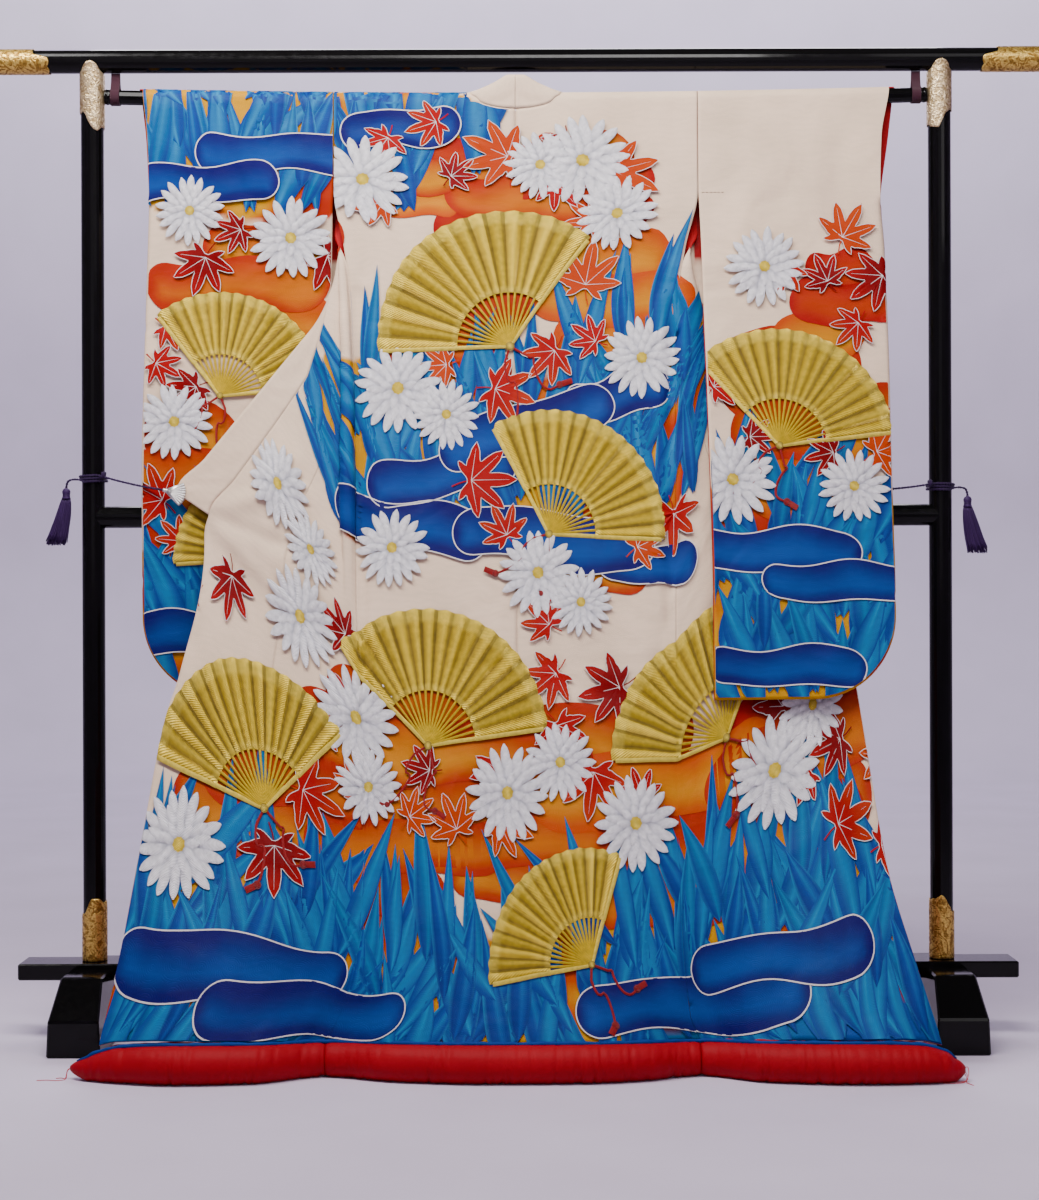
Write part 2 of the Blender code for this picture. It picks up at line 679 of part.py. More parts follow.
def roll_ring(x, shrink=0.0):
    """A section of the padded roll, flat where it lies on the floor."""
    radius = reading(HEM, x, RADIUS) - shrink
    y = reading(HEM, x, DEPTH)
    middle = max(ROLL_LIFT * reading(HEM, x, RADIUS), 0.018)
    ring = []
    for i in range(ROLL_SIDES):
        angle = 2 * math.pi * (i + 0.5) / ROLL_SIDES
        ring.append(Vector((x, y + radius * math.cos(angle), max(middle + radius * math.sin(angle), 0.0))))
    return ring


def build_roll(name, start, end, start_free, end_free):
    count = max(round((end - start) / 0.022), 8)
    stations = []
    for i in range(count + 1):
        share = i / count
        if start_free:
            share = share**1.35
        if end_free:
            share = 1 - (1 - share) ** 1.35
        stations.append((start + (end - start) * share, 0.0))
    pinch = ((0.0002, 0.0040), (0.0060, 0.0012))
    if not start_free:
        stations[:2] = [(start + step, shrink) for step, shrink in pinch] + stations[1:2]
    if not end_free:
        stations[-2:] = stations[-2:-1] + [(end - step, shrink) for step, shrink in pinch[::-1]]
    rings = [roll_ring(x, shrink) for x, shrink in stations]
    bm = bmesh.new()
    made = closed_quads(bm, rings, ring=True)
    bm.faces.new(made[0])
    bm.faces.new(made[-1][::-1])
    bmesh.ops.recalc_face_normals(bm, faces=bm.faces[:])
    add_mesh(name, bm, (RED, 0.55))


# Stand


def cylinder(name, radius, start, end, look, sides=24, collection=None):
    start, end = Vector(start), Vector(end)
    way = end - start
    bm = bmesh.new()
    bmesh.ops.create_cone(
        bm, cap_ends=True, segments=sides, radius1=radius, radius2=radius, depth=way.length
    )
    thing = add_mesh(name, bm, look, collection)
    thing.rotation_euler = way.to_track_quat("Z", "Y").to_euler()
    thing.location = (start + end) / 2
    return thing


def box(name, size, centre, look, bevel=0.0, collection=None):
    bm = bmesh.new()
    bmesh.ops.create_cube(bm, size=1.0)
    bmesh.ops.scale(bm, vec=size, verts=bm.verts[:])
    thing = add_mesh(name, bm, look, collection)
    thing.location = centre
    if bevel:
        edge = thing.modifiers.new("edge", "BEVEL")
        edge.width = bevel
        edge.segments = 1
    return thing


def boolean(thing, cutter, operation="DIFFERENCE"):
    cutter.hide_render = True
    cutter.display_type = "WIRE"
    cut = thing.modifiers.new(cutter.name, "BOOLEAN")
    cut.operation = operation
    cut.object = cutter


def tube(name, points, radius, look, resolution=3, collection=None):
    curve = bpy.data.curves.new(name, "CURVE")
    curve.dimensions = "3D"
    curve.bevel_depth = radius
    curve.bevel_resolution = resolution
    curve.use_fill_caps = True
    spline = curve.splines.new("POLY")
    spline.points.add(len(points) - 1)
    for place, point in zip(spline.points, points):
        place.co = (*point, 1.0)
    thing = bpy.data.objects.new(name, curve)
    (collection or PARTS).objects.link(thing)
    if look:
        curve.materials.append(new_material(name, *look))
    return thing


def build_rails():
    cylinder("top_rail", RAIL_RADIUS, (-RAIL_HALF_LENGTH, 0, RAIL_Z), (RAIL_HALF_LENGTH, 0, RAIL_Z), LACQUER)
    mid = cylinder("mid_rail", MID_RAIL_RADIUS, (-POST_X, 0, MID_RAIL_Z), (POST_X, 0, MID_RAIL_Z), LACQUER)
    for side, word in ((-1, "left"), (1, "right")):
        cutter = cylinder(
            f"mid_rail_cope_{word}", POST_RADIUS + FIT, (side * POST_X, 0, MID_RAIL_Z - 0.1),
            (side * POST_X, 0, MID_RAIL_Z + 0.1), None, 32, CUTTERS,
        )
        boolean(mid, cutter)
    steps = 12
    points = []
    for i in range(steps + 1):
        x = BAR_HALF_LENGTH * (2 * i / steps - 1)
        points.append((x, 0, bar_z(x)))
    tube("hanging_bar", points, BAR_RADIUS, LACQUER, 4)


def build_post(side, word):
    x = side * POST_X
    post = cylinder(f"post_{word}", POST_RADIUS, (x, 0, BOARD_TOP + FIT), (x, 0, RAIL_Z), LACQUER)
    saddle = cylinder(
        f"saddle_{word}", RAIL_RADIUS + FIT, (x - 0.05, 0, RAIL_Z), (x + 0.05, 0, RAIL_Z), None, 24, CUTTERS
    )
    boolean(post, saddle)
    tenon = cylinder(
        f"tenon_{word}", TENON_RADIUS, (x, 0, TENON_BOTTOM), (x, 0, BOARD_TOP + 0.02), None, 20, CUTTERS
    )
    boolean(post, tenon, "UNION")


def build_feet():
    length = 2 * BOARD_HALF_LENGTH
    thickness = BOARD_TOP - BOARD_BOTTOM
    middle = (BOARD_TOP + BOARD_BOTTOM) / 2
    board = box("foot_board", (length, BOARD_WIDTH, thickness), (0, 0, middle), LACQUER, 0.0025)
    for side, word in ((-1, "left"), (1, "right")):
        x = side * POST_X
        socket = cylinder(
            f"socket_{word}", TENON_RADIUS + FIT, (x, 0, TENON_BOTTOM - FIT), (x, 0, BOARD_TOP + 0.02),
            None, 20, CUTTERS,
        )
        boolean(board, socket)
        bm = bmesh.new()
        half = BLOCK_BASE_WIDTH / 2
        top = BLOCK_TOP_WIDTH / 2
        middle = top + (half - top) * 0.75
        profile = (
            (-BLOCK_HALF_LENGTH, 0.0, half),
            (-BLOCK_HALF_LENGTH, BLOCK_SHOULDER, middle),
            (-BLOCK_TOP_HALF_LENGTH, BLOCK_TOP, top),
            (BLOCK_TOP_HALF_LENGTH, BLOCK_TOP, top),
            (BLOCK_HALF_LENGTH, BLOCK_SHOULDER, middle),
            (BLOCK_HALF_LENGTH, 0.0, half),
        )
        rings = [[Vector((way * w, y, z)) for y, z, w in profile] for way in (-1, 1)]
        made = closed_quads(bm, rings, ring=True)
        bm.faces.new(made[0])
        bm.faces.new(made[1][::-1])
        bmesh.ops.recalc_face_normals(bm, faces=bm.faces[:])
        block = add_mesh(f"foot_block_{word}", bm, LACQUER)
        block.location.x = x
        edge = block.modifiers.new("edge", "BEVEL")
        edge.width = 0.003
        edge.segments = 1
        notch = box(
            f"notch_{word}", (0.2, BOARD_WIDTH + 2 * FIT, 0.1), (x, 0, BOARD_BOTTOM - FIT + 0.05),
            None, 0, CUTTERS
        )
        boolean(block, notch)
        boolean(block, socket)


def shell(name, radius, low, high, centre, axis, thickness, sides=20, steps=3, hug=None):
    """A thin metal tube whose two rims follow functions of the angle round it."""
    bm = bmesh.new()
    rings = []
    for k in range(steps + 1):
        ring = []
        for i in range(sides):
            angle = 2 * math.pi * i / sides
            along = low(angle) + (high(angle) - low(angle)) * k / steps
            first = radius * math.cos(angle)
            second = radius * math.sin(angle)
            if hug:
                second = hug(second, along)
            ring.append(Vector(axis(first, second, along)) + Vector(centre))
        rings.append(ring)
    closed_quads(bm, rings, ring=True)
    bm.normal_update()
    middle = sum((v.co for v in bm.verts), Vector()) / len(bm.verts)
    spread = sum((f.normal.dot(f.calc_center_median() - middle) for f in bm.faces))
    if spread < 0:
        bmesh.ops.reverse_faces(bm, faces=bm.faces[:])
    thing = add_mesh(name, bm, GOLD)
    wall = thing.modifiers.new("wall", "SOLIDIFY")
    wall.thickness = thickness
    wall.offset = 1.0
    return thing


def build_fittings():
    def upright(first, second, along):
        return (first, second, along)

    def scallop(angle, count):
        return abs(math.sin(count * angle / 2 + math.pi / 4))

    fit_radius = POST_RADIUS + FIT
    rail_clear = RAIL_RADIUS + 3 * FIT

    def hug_rail(second, along):
        below = RAIL_Z - along
        if below >= rail_clear:
            return second
        clear = math.sqrt(max(rail_clear**2 - max(below, 0.0) ** 2, 0.0))
        return math.copysign(max(abs(second), clear), second)

    def top_of(angle):
        second = fit_radius * math.sin(angle)
        saddle = RAIL_Z - math.sqrt(max(rail_clear**2 - second**2, 0.0)) - 0.0012
        facing = max(abs(math.sin(angle)) - 0.62, 0.0) / 0.38
        peak = RAIL_Z - TOP_FITTING_LAP
        return saddle + (peak - saddle) * facing**0.7 if facing > 0 else saddle

    for side, word in ((-1, "left"), (1, "right")):
        x = side * POST_X
        shell(
            f"post_top_fitting_{word}", fit_radius,
            lambda a: TOP_FITTING_BOTTOM + 0.012 * abs(math.cos(a)) + 0.003 * scallop(a, 6),
            top_of, (x, 0, 0), upright, FITTING_WALL, 24, 4, hug_rail,
        )
        shell(
            f"post_foot_fitting_{word}", fit_radius, lambda a: BOARD_TOP + FIT,
            lambda a: FOOT_FITTING_TOP - 0.022 * abs(math.cos(a)) ** 0.7 - 0.002 * scallop(a, 6),
            (x, 0, 0), upright, FITTING_WALL,
        )
        cap = shell(
            f"rail_cap_{word}", RAIL_RADIUS + FIT,
            lambda a: CAP_START + 0.018 * abs(math.sin(a)) ** 0.7, lambda a: RAIL_HALF_LENGTH + FIT,
            (0, 0, RAIL_Z), lambda first, second, along, side=side: (side * along, first, second), CAP_WALL,
        )
        close_cap(cap, side)


def close_cap(cap, side):
    """Close the cap's outer end with a shallow dome."""
    bm = bmesh.new()
    bm.from_mesh(cap.data)
    end = side * (RAIL_HALF_LENGTH + FIT)
    rim = [e for e in bm.edges if e.is_boundary and all(abs(v.co.x - end) < 1e-5 for v in e.verts)]
    made = bmesh.ops.extrude_edge_only(bm, edges=rim)
    ring = [v for v in made["geom"] if isinstance(v, bmesh.types.BMVert)]
    for v in ring:
        v.co = Vector((v.co.x + side * 0.002, v.co.y * 0.6, RAIL_Z + (v.co.z - RAIL_Z) * 0.6))
    loop = [e for e in made["geom"] if isinstance(e, bmesh.types.BMEdge) and e.is_boundary]
    bmesh.ops.contextual_create(bm, geom=loop)
    bmesh.ops.recalc_face_normals(bm, faces=bm.faces[:])
    if bm.calc_volume(signed=True) < 0:
        bmesh.ops.reverse_faces(bm, faces=bm.faces[:])
    bm.to_mesh(cap.data)
    bm.free()


def build_strap(side, word):
    """A ribbon looped round the bar, both ends under the top rail."""
    x = side * STRAP_X
    radius = BAR_RADIUS + FIT + STRAP_THICKNESS / 2 + 0.0002
    top = RAIL_Z - RAIL_RADIUS - FIT - 0.0004
    middle = bar_z(x)
    section = [Vector((0, -0.0012, top)), Vector((0, -0.0020, top - 0.010))]
    for turn in range(-50, 231, 28):
        angle = math.radians(turn)
        section.append(Vector((0, -radius * math.cos(angle), middle - radius * math.sin(angle))))
    section += [Vector((0, 0.0020, top - 0.010)), Vector((0, 0.0012, top))]
    rows = []
    for across in (-0.5, 0.5):
        rows.append([p + Vector((x + across * STRAP_WIDTH, 0, 0)) for p in section])
    cloth(f"bar_strap_{word}", [rows], (PLUM, 0.6), STRAP_THICKNESS)


# Ties


def build_tie(side, word):
    """A cord from the clip, twice round the post, to the tassel beside it."""
    table = LEFT_EDGE if side < 0 else RIGHT_EDGE
    corner = Vector(reading(table, COLLAR_END, c) for c in (EDGE_X, EDGE_Y, EDGE_Z))
    wrap_z = 1.000 if side < 0 else 0.981
    post_x = side * POST_X
    pull = Vector((post_x - side * 0.010, -POST_RADIUS - 0.004, wrap_z)) - corner
    inward = front_point(side, COLLAR_END, 0.93) - corner
    upward = front_point(side, COLLAR_END + 0.04, 1.0) - corner
    facing = inward.cross(upward).normalized()
    way = (pull - facing * pull.dot(facing)).normalized()
    build_clip(side, word, corner, way)
    start = corner + way * 0.0245
    radius = POST_RADIUS + 0.0011 + TIE_RADIUS
    points = []
    first = Vector((post_x - side * 0.012, -radius - 0.0004, wrap_z))
    for i in range(5):
        points.append(start.lerp(first, i / 5))
    turns = 22
    sweep = 360 * TIE_TURNS + 60
    for i in range(turns + 1):
        angle = math.radians(-118 + sweep * i / turns)
        x = post_x + side * radius * math.cos(angle)
        points.append(Vector((x, radius * math.sin(angle), wrap_z - TIE_PITCH * TIE_TURNS * i / turns)))
    last = points[-1]
    hang = Vector((side * (POST_X + POST_RADIUS + 0.0235), -0.004, last.z + 0.002))
    for share in (0.35, 0.7):
        points.append(last.lerp(hang, share) + Vector((0, 0, 0.003)))
    points.append(hang)
    points.append(hang + Vector((side * 0.003, 0, -0.006)))
    points.append(hang + Vector((side * 0.004, 0, -0.012)))
    tube(f"tie_{word}", points, TIE_RADIUS, (PURPLE, 0.6), 2)
    build_tassel(side, word, points[-1] - Vector((0, 0, 0.0008)))


def build_clip(side, word, corner, way):
    """A fan-shaped clip whose jaws hold the corner of the collar."""
    bm = bmesh.new()
    across = Vector((-way.z, 0, way.x)).normalized() * side
    depth = way.cross(across).normalized()
    outline = [(0.024, -0.0035), (0.010, -0.0050)]
    for turn in (-40, -24, -8, 8, 24, 40):
        angle = math.radians(turn)
        outline.append((0.010 - 0.028 * math.cos(angle), 0.026 * math.sin(angle)))
    outline += [(0.010, 0.0050), (0.024, 0.0035)]
    rings = []
    for thick in (-0.5, 0.5):
        rings.append([corner + way * a + across * b + depth * thick * CLIP_DEPTH for a, b in outline])
    made = closed_quads(bm, rings, ring=True)
    bm.faces.new(made[0])
    bm.faces.new(made[1][::-1])
    bmesh.ops.recalc_face_normals(bm, faces=bm.faces[:])
    clip = add_mesh(f"clip_{word}", bm, SILVER)
    slot = bmesh.new()
    mouth = ((0.002, -0.05), (0.002, 0.05), (-0.05, 0.05), (-0.05, -0.05))
    rings = []
    for thick in (-0.5, 0.5):
        gap = depth * thick * CLIP_SLOT
        rings.append([corner + way * a + across * b + gap for a, b in mouth])
    made = closed_quads(slot, rings, ring=True)
    slot.faces.new(made[0])
    slot.faces.new(made[1][::-1])
    bmesh.ops.recalc_face_normals(slot, faces=slot.faces[:])
    boolean(clip, add_mesh(f"slot_{word}", slot, None, CUTTERS))


def build_tassel(side, word, top):
    """A tassel: a turned head with strands fused into its underside."""
    bm = bmesh.new()
    profile = (
        (0.0030, 0.000), (0.0062, -0.003), (0.0070, -0.008),
        (0.0052, -0.013), (0.0066, -0.016), (0.0060, -0.020),
    )
    rings = []
    for radius, drop in profile:
        ring = []
        for i in range(12):
            angle = 2 * math.pi * i / 12
            ring.append(top + Vector((radius * math.cos(angle), radius * math.sin(angle), drop)))
        rings.append(ring)
    made = closed_quads(bm, rings, ring=True)
    bm.faces.new(made[0])
    bm.faces.new(made[-1][::-1])
    bmesh.ops.recalc_face_normals(bm, faces=bm.faces[:])
    tassel = add_mesh(f"tassel_{word}", bm, (PURPLE, 0.7))
    strands = bmesh.new()
    golden = math.pi * (3 - math.sqrt(5))
    for i in range(TASSEL_STRANDS):
        share = math.sqrt((i + 0.5) / TASSEL_STRANDS)
        angle = golden * i
        length = TASSEL_LENGTH * (1 - 0.10 * ((i * 7) % 10) / 10)
        spread = Vector((math.cos(angle), math.sin(angle), 0)) * share
        lean = Vector((side * 0.006, 0, 0))
        rings = []
        stations = ((0.0008, -0.017, 0.0048), (0.0009, -0.050, 0.0115), (0.0008, -length, 0.0135))
        for radius, drop, out in stations:
            centre = top + spread * out + lean * (drop / -TASSEL_LENGTH) + Vector((0, 0, drop))
            ring = []
            for k in range(3):
                turn = angle + 2 * math.pi * k / 3
                ring.append(centre + Vector((math.cos(turn), math.sin(turn), 0)) * radius)
            rings.append(ring)
        made = closed_quads(strands, rings, ring=True)
        strands.faces.new(made[0])
        strands.faces.new(made[-1][::-1])
    bmesh.ops.recalc_face_normals(strands, faces=strands.faces[:])
    roots = add_mesh(f"strands_{word}", strands, None, CUTTERS)
    boolean(tassel, roots, "UNION")


def centre_over_origin():
    """Put everything under one empty that brings the middle of the object's box to the origin."""
    bpy.context.view_layer.update()
    shown = bpy.context.evaluated_depsgraph_get()
    low, high = 1e9, -1e9
    for thing in PARTS.objects:
        whole = thing.evaluated_get(shown)
        mesh = whole.to_mesh()
        depths = [(whole.matrix_world @ v.co).y for v in mesh.vertices]
        whole.to_mesh_clear()
        low, high = min(low, *depths), max(high, *depths)
    place = bpy.data.objects.new("placing", None)
    bpy.context.scene.collection.objects.link(place)
    for thing in list(PARTS.objects) + list(CUTTERS.objects):
        thing.parent = place
    place.location.y = -(low + high) / 2


for old in list(bpy.data.objects):
    bpy.data.objects.remove(old)

PARTS = new_collection("uchikake_on_stand")
CUTTERS = new_collection("cutters")
LACQUER = ((0.010, 0.009, 0.011), 0.16)
GOLD = ((0.72, 0.55, 0.26), 0.38, 0.9)
SILVER = ((0.85, 0.82, 0.72), 0.30, 0.9)
CREAM = (0.62, 0.53, 0.42)
BLUE = (0.02, 0.12, 0.45)
TURQUOISE = (0.05, 0.30, 0.48)
RED = (0.52, 0.015, 0.008)
PURPLE = (0.035, 0.012, 0.075)
PLUM = (0.075, 0.020, 0.045)

build_rails()
build_feet()
build_fittings()
build_body()
build_roll("hem_roll_left", HEM[0][PLACE], HEM_LEFT_SEAM, True, False)
build_roll("hem_roll_back", HEM_LEFT_SEAM, HEM_RIGHT_SEAM, False, False)
build_roll("hem_roll_right", HEM_RIGHT_SEAM, HEM[-1][PLACE], False, True)
for side, word in ((-1, "left"), (1, "right")):
    build_post(side, word)
    build_strap(side, word)
    build_sleeve(side, -1)
    build_sleeve(side, 1)
    build_tie(side, word)
centre_over_origin()
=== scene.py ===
"""The looks of an uchikake wedding kimono on its lacquered stand, built round the CAD frame.

Metres, +Z up. The garment's back faces -Y. A point of the cloth is found from its place in the
flat cloth, (across, level), and everything that is dyed or sewn on it goes through the same
functions, so that it follows the drape.
"""

import math
from functools import partial

import bpy
import numpy as np
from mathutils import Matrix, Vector


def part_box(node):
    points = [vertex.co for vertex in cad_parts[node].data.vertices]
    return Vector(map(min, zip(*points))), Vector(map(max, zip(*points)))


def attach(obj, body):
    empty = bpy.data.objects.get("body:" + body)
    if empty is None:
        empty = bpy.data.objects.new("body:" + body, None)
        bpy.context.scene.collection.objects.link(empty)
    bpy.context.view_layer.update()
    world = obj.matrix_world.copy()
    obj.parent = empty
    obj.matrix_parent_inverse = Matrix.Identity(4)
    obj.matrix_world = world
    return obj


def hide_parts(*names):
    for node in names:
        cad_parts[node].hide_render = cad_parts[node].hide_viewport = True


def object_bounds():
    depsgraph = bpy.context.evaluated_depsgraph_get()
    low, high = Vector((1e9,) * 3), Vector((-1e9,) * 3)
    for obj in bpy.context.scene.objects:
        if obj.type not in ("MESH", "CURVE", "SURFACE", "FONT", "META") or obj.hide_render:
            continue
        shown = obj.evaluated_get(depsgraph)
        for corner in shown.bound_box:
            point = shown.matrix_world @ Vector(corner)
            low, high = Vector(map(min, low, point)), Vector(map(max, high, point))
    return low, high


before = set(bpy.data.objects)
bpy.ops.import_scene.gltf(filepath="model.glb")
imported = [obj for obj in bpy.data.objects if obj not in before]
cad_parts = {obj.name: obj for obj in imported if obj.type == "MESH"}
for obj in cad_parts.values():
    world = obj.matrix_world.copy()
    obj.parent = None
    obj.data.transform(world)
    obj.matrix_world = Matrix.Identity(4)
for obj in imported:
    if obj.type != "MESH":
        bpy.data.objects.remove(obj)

CAD_LOW, CAD_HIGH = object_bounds()
SHIFT = (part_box("post_left")[0].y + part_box("post_left")[1].y) / 2

# Camera and picture
PICTURE_HEIGHT = 1200
FOCAL_PIXELS = 2240
SENSOR = 36.0
CAMERA_X, CAMERA_AWAY, CAMERA_Z = 0.004, 4.0, 0.776
CAMERA_ROLL = math.radians(0.18)

# Stand, as the CAD has it
POST_X, POST_RADIUS = 0.756, 0.0203
RAIL_RADIUS, RAIL_Z, RAIL_HALF = 0.0207, 1.7392, 0.990
BAR_RADIUS, BAR_END_Z, BAR_HALF, BAR_SAG = 0.0134, 1.6762, 0.7325, 0.0100
STRAP_X, STRAP_WIDTH = 0.7140, 0.0160
BOARD_TOP = 0.1350

# Cloth
CLOTH = 0.0020
SIDES = ((-1, "left"), (1, "right"))
LAYERS = ((-1, "back"), (1, "front"))
FOLD_RADIUS = 0.0149
COLLAR_RADIUS = 0.0160
SHOULDER_X = 0.3230
SLIT_TOP, SLIT_BOTTOM = 1.503, 1.370
TOP = 1.666
OVER = FOLD_RADIUS * math.pi / 2
HEM_LEVEL = 0.055
HEM_Y = -0.385
HANG_POWER, WAVE_POWER = 1.8, 6.0
HALF_BACK = 0.30
NECK_ACROSS = 0.079
SLEEVE_FOOT, SLEEVE_ROUND, CUFF_BOTTOM = 0.6055, 0.142, 1.480
LAYER_WALL = 0.0012
SEAM_MARGIN, EDGE_MARGIN, OVER_SHARE = 0.0045, 0.0012, 0.98
PLEAT_TOP, PLEAT_BOTTOM, PLEAT_HEIGHT, PLEAT_WIDTH = 1.400, 0.740, 0.016, 0.027
CREASE_GAIN = 1.35
TURN_REACH, TURN_SPAN, TURN_X = 0.12, 0.12, {-1: 0.3235, 1: 0.3160}
THREAD_PULL = 0.30
BOW_REACH = 0.066
HEM_POWER = 12
SEAM_GAP = 0.0006
GRID = 0.008
HEM_PUCKER = 0.115
SEED = 7

# Flat sizes of the cut pieces, and the areas that show
FRONT_FLAT, OVERLAP_FLAT, COLLAR_FLAT = (0.32, 1.70), (0.24, 1.65), (0.055, 1.02)

# Side seams of the body
HEIGHT, LEFT_X, RIGHT_X = range(3)
SIDE_SEAMS = (
    (0.055, -0.3145, 0.2965),
    (0.093, -0.2930, 0.2800),
    (0.150, -0.2720, 0.2740),
    (0.220, -0.2600, 0.2700),
    (0.360, -0.2560, 0.2680),
    (0.776, -0.2770, 0.2740),
    (1.100, -0.2840, 0.2790),
    (1.300, -0.2910, 0.2850),
    (1.400, -0.3050, 0.3000),
    (SLIT_TOP, -SHOULDER_X, SHOULDER_X),
    (1.700, -SHOULDER_X, SHOULDER_X),
)

# Hem roll and hem line, from tip to tip
PLACE, DEPTH, RADIUS = range(3)
HEM = (
    (-0.7280, -0.3620, 0.0040),
    (-0.7200, -0.3640, 0.0100),
    (-0.7060, -0.3680, 0.0165),
    (-0.6850, -0.3740, 0.0230),
    (-0.6400, -0.3860, 0.0296),
    (-0.5500, -0.4020, 0.0325),
    (-0.4300, -0.3930, 0.0318),
    (-0.3150, -0.3400, 0.0288),
    (-0.2000, -0.3800, 0.0312),
    (-0.0500, -0.4000, 0.0322),
    (0.1000, -0.3980, 0.0322),
    (0.2000, -0.3800, 0.0312),
    (0.2965, -0.3420, 0.0288),
    (0.4000, -0.3920, 0.0320),
    (0.5500, -0.4120, 0.0332),
    (0.6400, -0.4080, 0.0318),
    (0.6850, -0.4020, 0.0262),
    (0.7020, -0.3980, 0.0195),
    (0.7130, -0.3950, 0.0125),
    (0.7190, -0.3930, 0.0060),
)
ROLL_LIFT, ROLL_LEAST = 0.93, 0.018
HEM_LEFT_SEAM, HEM_RIGHT_SEAM = -0.3150, 0.2965

# Front edges, a row for each height on the side seam that a crosswise thread starts from
SIDE_Z, EDGE_X, EDGE_Y, EDGE_Z, SEAM_SHARE, OVERLAP_SHARE = range(6)
LEFT_EDGE = (
    (0.055, -0.6780, -0.3760, 0.0570, 1.000, 0.550),
    (0.150, -0.6520, -0.3300, 0.1960, 1.000, 0.550),
    (0.330, -0.6270, -0.2270, 0.4100, 1.000, 0.545),
    (0.460, -0.6050, -0.1640, 0.5700, 1.000, 0.535),
    (0.530, -0.5820, -0.1380, 0.6520, 1.000, 0.530),
    (0.700, -0.5480, -0.0740, 0.8640, 1.000, 0.490),
    (0.750, -0.5994, -0.0560, 0.9660, 0.810, 0.400),
    (0.840, -0.5500, -0.0530, 1.0270, 0.790, 0.400),
    (1.000, -0.4480, -0.0460, 1.1520, 0.740, 0.320),
    (1.150, -0.3790, -0.0370, 1.2370, 0.660, 0.300),
    (1.250, -0.3380, -0.0290, 1.2870, 0.580, 0.330),
    (1.300, -0.3120, -0.0200, 1.3190, 0.540, 0.340),
    (SLIT_BOTTOM, -0.2650, -0.0040, 1.3770, 0.500, 0.360),
    (SLIT_TOP, -0.1600, 0.0130, SLIT_TOP, 0.620, 0.450),
    (1.600, -0.0850, 0.0162, 1.6000, 0.700, 0.520),
    (1.666, -0.0340, 0.0170, 1.6660, 0.822, 0.620),
)
RIGHT_EDGE = (
    (0.055, 0.6820, -0.3950, 0.0580, 1.000, 0.550),
    (0.140, 0.6510, -0.3280, 0.1820, 1.000, 0.550),
    (0.260, 0.6180, -0.2560, 0.3260, 1.000, 0.545),
    (0.490, 0.5890, -0.1240, 0.6110, 1.000, 0.535),
    (0.700, 0.5480, -0.0540, 0.8640, 1.000, 0.490),
    (0.750, 0.5994, -0.0340, 0.9660, 0.810, 0.400),
    (0.840, 0.5500, -0.0300, 1.0270, 0.790, 0.400),
    (1.000, 0.4480, -0.0220, 1.1520, 0.740, 0.320),
    (1.150, 0.3790, -0.0140, 1.2370, 0.660, 0.300),
    (1.250, 0.3380, -0.0060, 1.2870, 0.580, 0.330),
    (1.300, 0.3120, -0.0020, 1.3190, 0.540, 0.340),
    (SLIT_BOTTOM, 0.2650, 0.0040, 1.3770, 0.500, 0.360),
    (SLIT_TOP, 0.1600, 0.0150, SLIT_TOP, 0.620, 0.450),
    (1.600, 0.0780, 0.0162, 1.6000, 0.700, 0.520),
    (1.666, 0.0340, 0.0170, 1.6660, 0.822, 0.620),
)
EDGES = {-1: LEFT_EDGE, 1: RIGHT_EDGE}
COLLAR_END = 0.750
PLEAT_PLACE, PLEAT_RISE, PLEAT_LEAN = range(3)
PLEAT = (
    (0.00, 0.00, 0.00),
    (0.12, 0.00, 0.00),
    (0.36, 0.80, 0.00),
    (0.66, 1.00, 0.15),
    (0.92, 0.60, 0.45),
    (1.05, 0.00, 0.15),
    (1.30, 0.00, 0.00),
)

# Sleeves: where the near and the far layer hang in depth, at the inner and the outer edge
SLEEVE_Z, NEAR_INNER, NEAR_OUTER, FAR_INNER, FAR_OUTER = range(5)
LEFT_SLEEVE = (
    (0.610, -0.0400, -0.0380, -0.0260, -0.0240),
    (0.900, -0.0380, -0.0370, -0.0230, -0.0225),
    (1.000, -0.0360, -0.0360, -0.0215, -0.0215),
    (1.200, -0.0230, -0.0230, -0.0080, -0.0080),
    (1.300, -0.0160, -0.0165, 0.0010, 0.0005),
    (1.420, -0.0150, -0.0130, 0.0090, 0.0080),
    (SLIT_TOP, -0.0205, -0.0125, 0.0150, 0.0125),
    (1.580, -0.0175, -0.0145, 0.0155, 0.0140),
    (1.666, -FOLD_RADIUS, -FOLD_RADIUS, FOLD_RADIUS, FOLD_RADIUS),
)
RIGHT_SLEEVE = (
    (0.610, -0.2010, -0.1500, -0.1870, -0.1360),
    (0.800, -0.1600, -0.0980, -0.1460, -0.0840),
    (0.965, -0.1190, -0.0660, -0.1050, -0.0520),
    (1.150, -0.0830, -0.0410, -0.0680, -0.0260),
    (1.300, -0.0450, -0.0270, -0.0260, -0.0080),
    (1.420, -0.0290, -0.0190, -0.0040, 0.0050),
    (SLIT_TOP, -0.0205, -0.0150, 0.0150, 0.0110),
    (1.580, -0.0175, -0.0145, 0.0155, 0.0140),
    (1.666, -FOLD_RADIUS, -FOLD_RADIUS, FOLD_RADIUS, FOLD_RADIUS),
)
OUTLINE_Z, INNER_X, NEAR_X, FAR_X = range(4)
LEFT_OUTLINE = (
    (0.610, 0.3290, 0.6620, 0.6620),
    (1.000, 0.3290, 0.6640, 0.6640),
    (1.300, 0.3285, 0.6590, 0.6590),
    (CUFF_BOTTOM, 0.3260, 0.6540, 0.6550),
    (SLIT_TOP, 0.3240, 0.6535, 0.6570),
    (1.600, 0.3240, 0.6560, 0.6620),
    (1.676, 0.3240, 0.6640, 0.6705),
    (1.700, 0.3240, 0.6650, 0.6715),
)
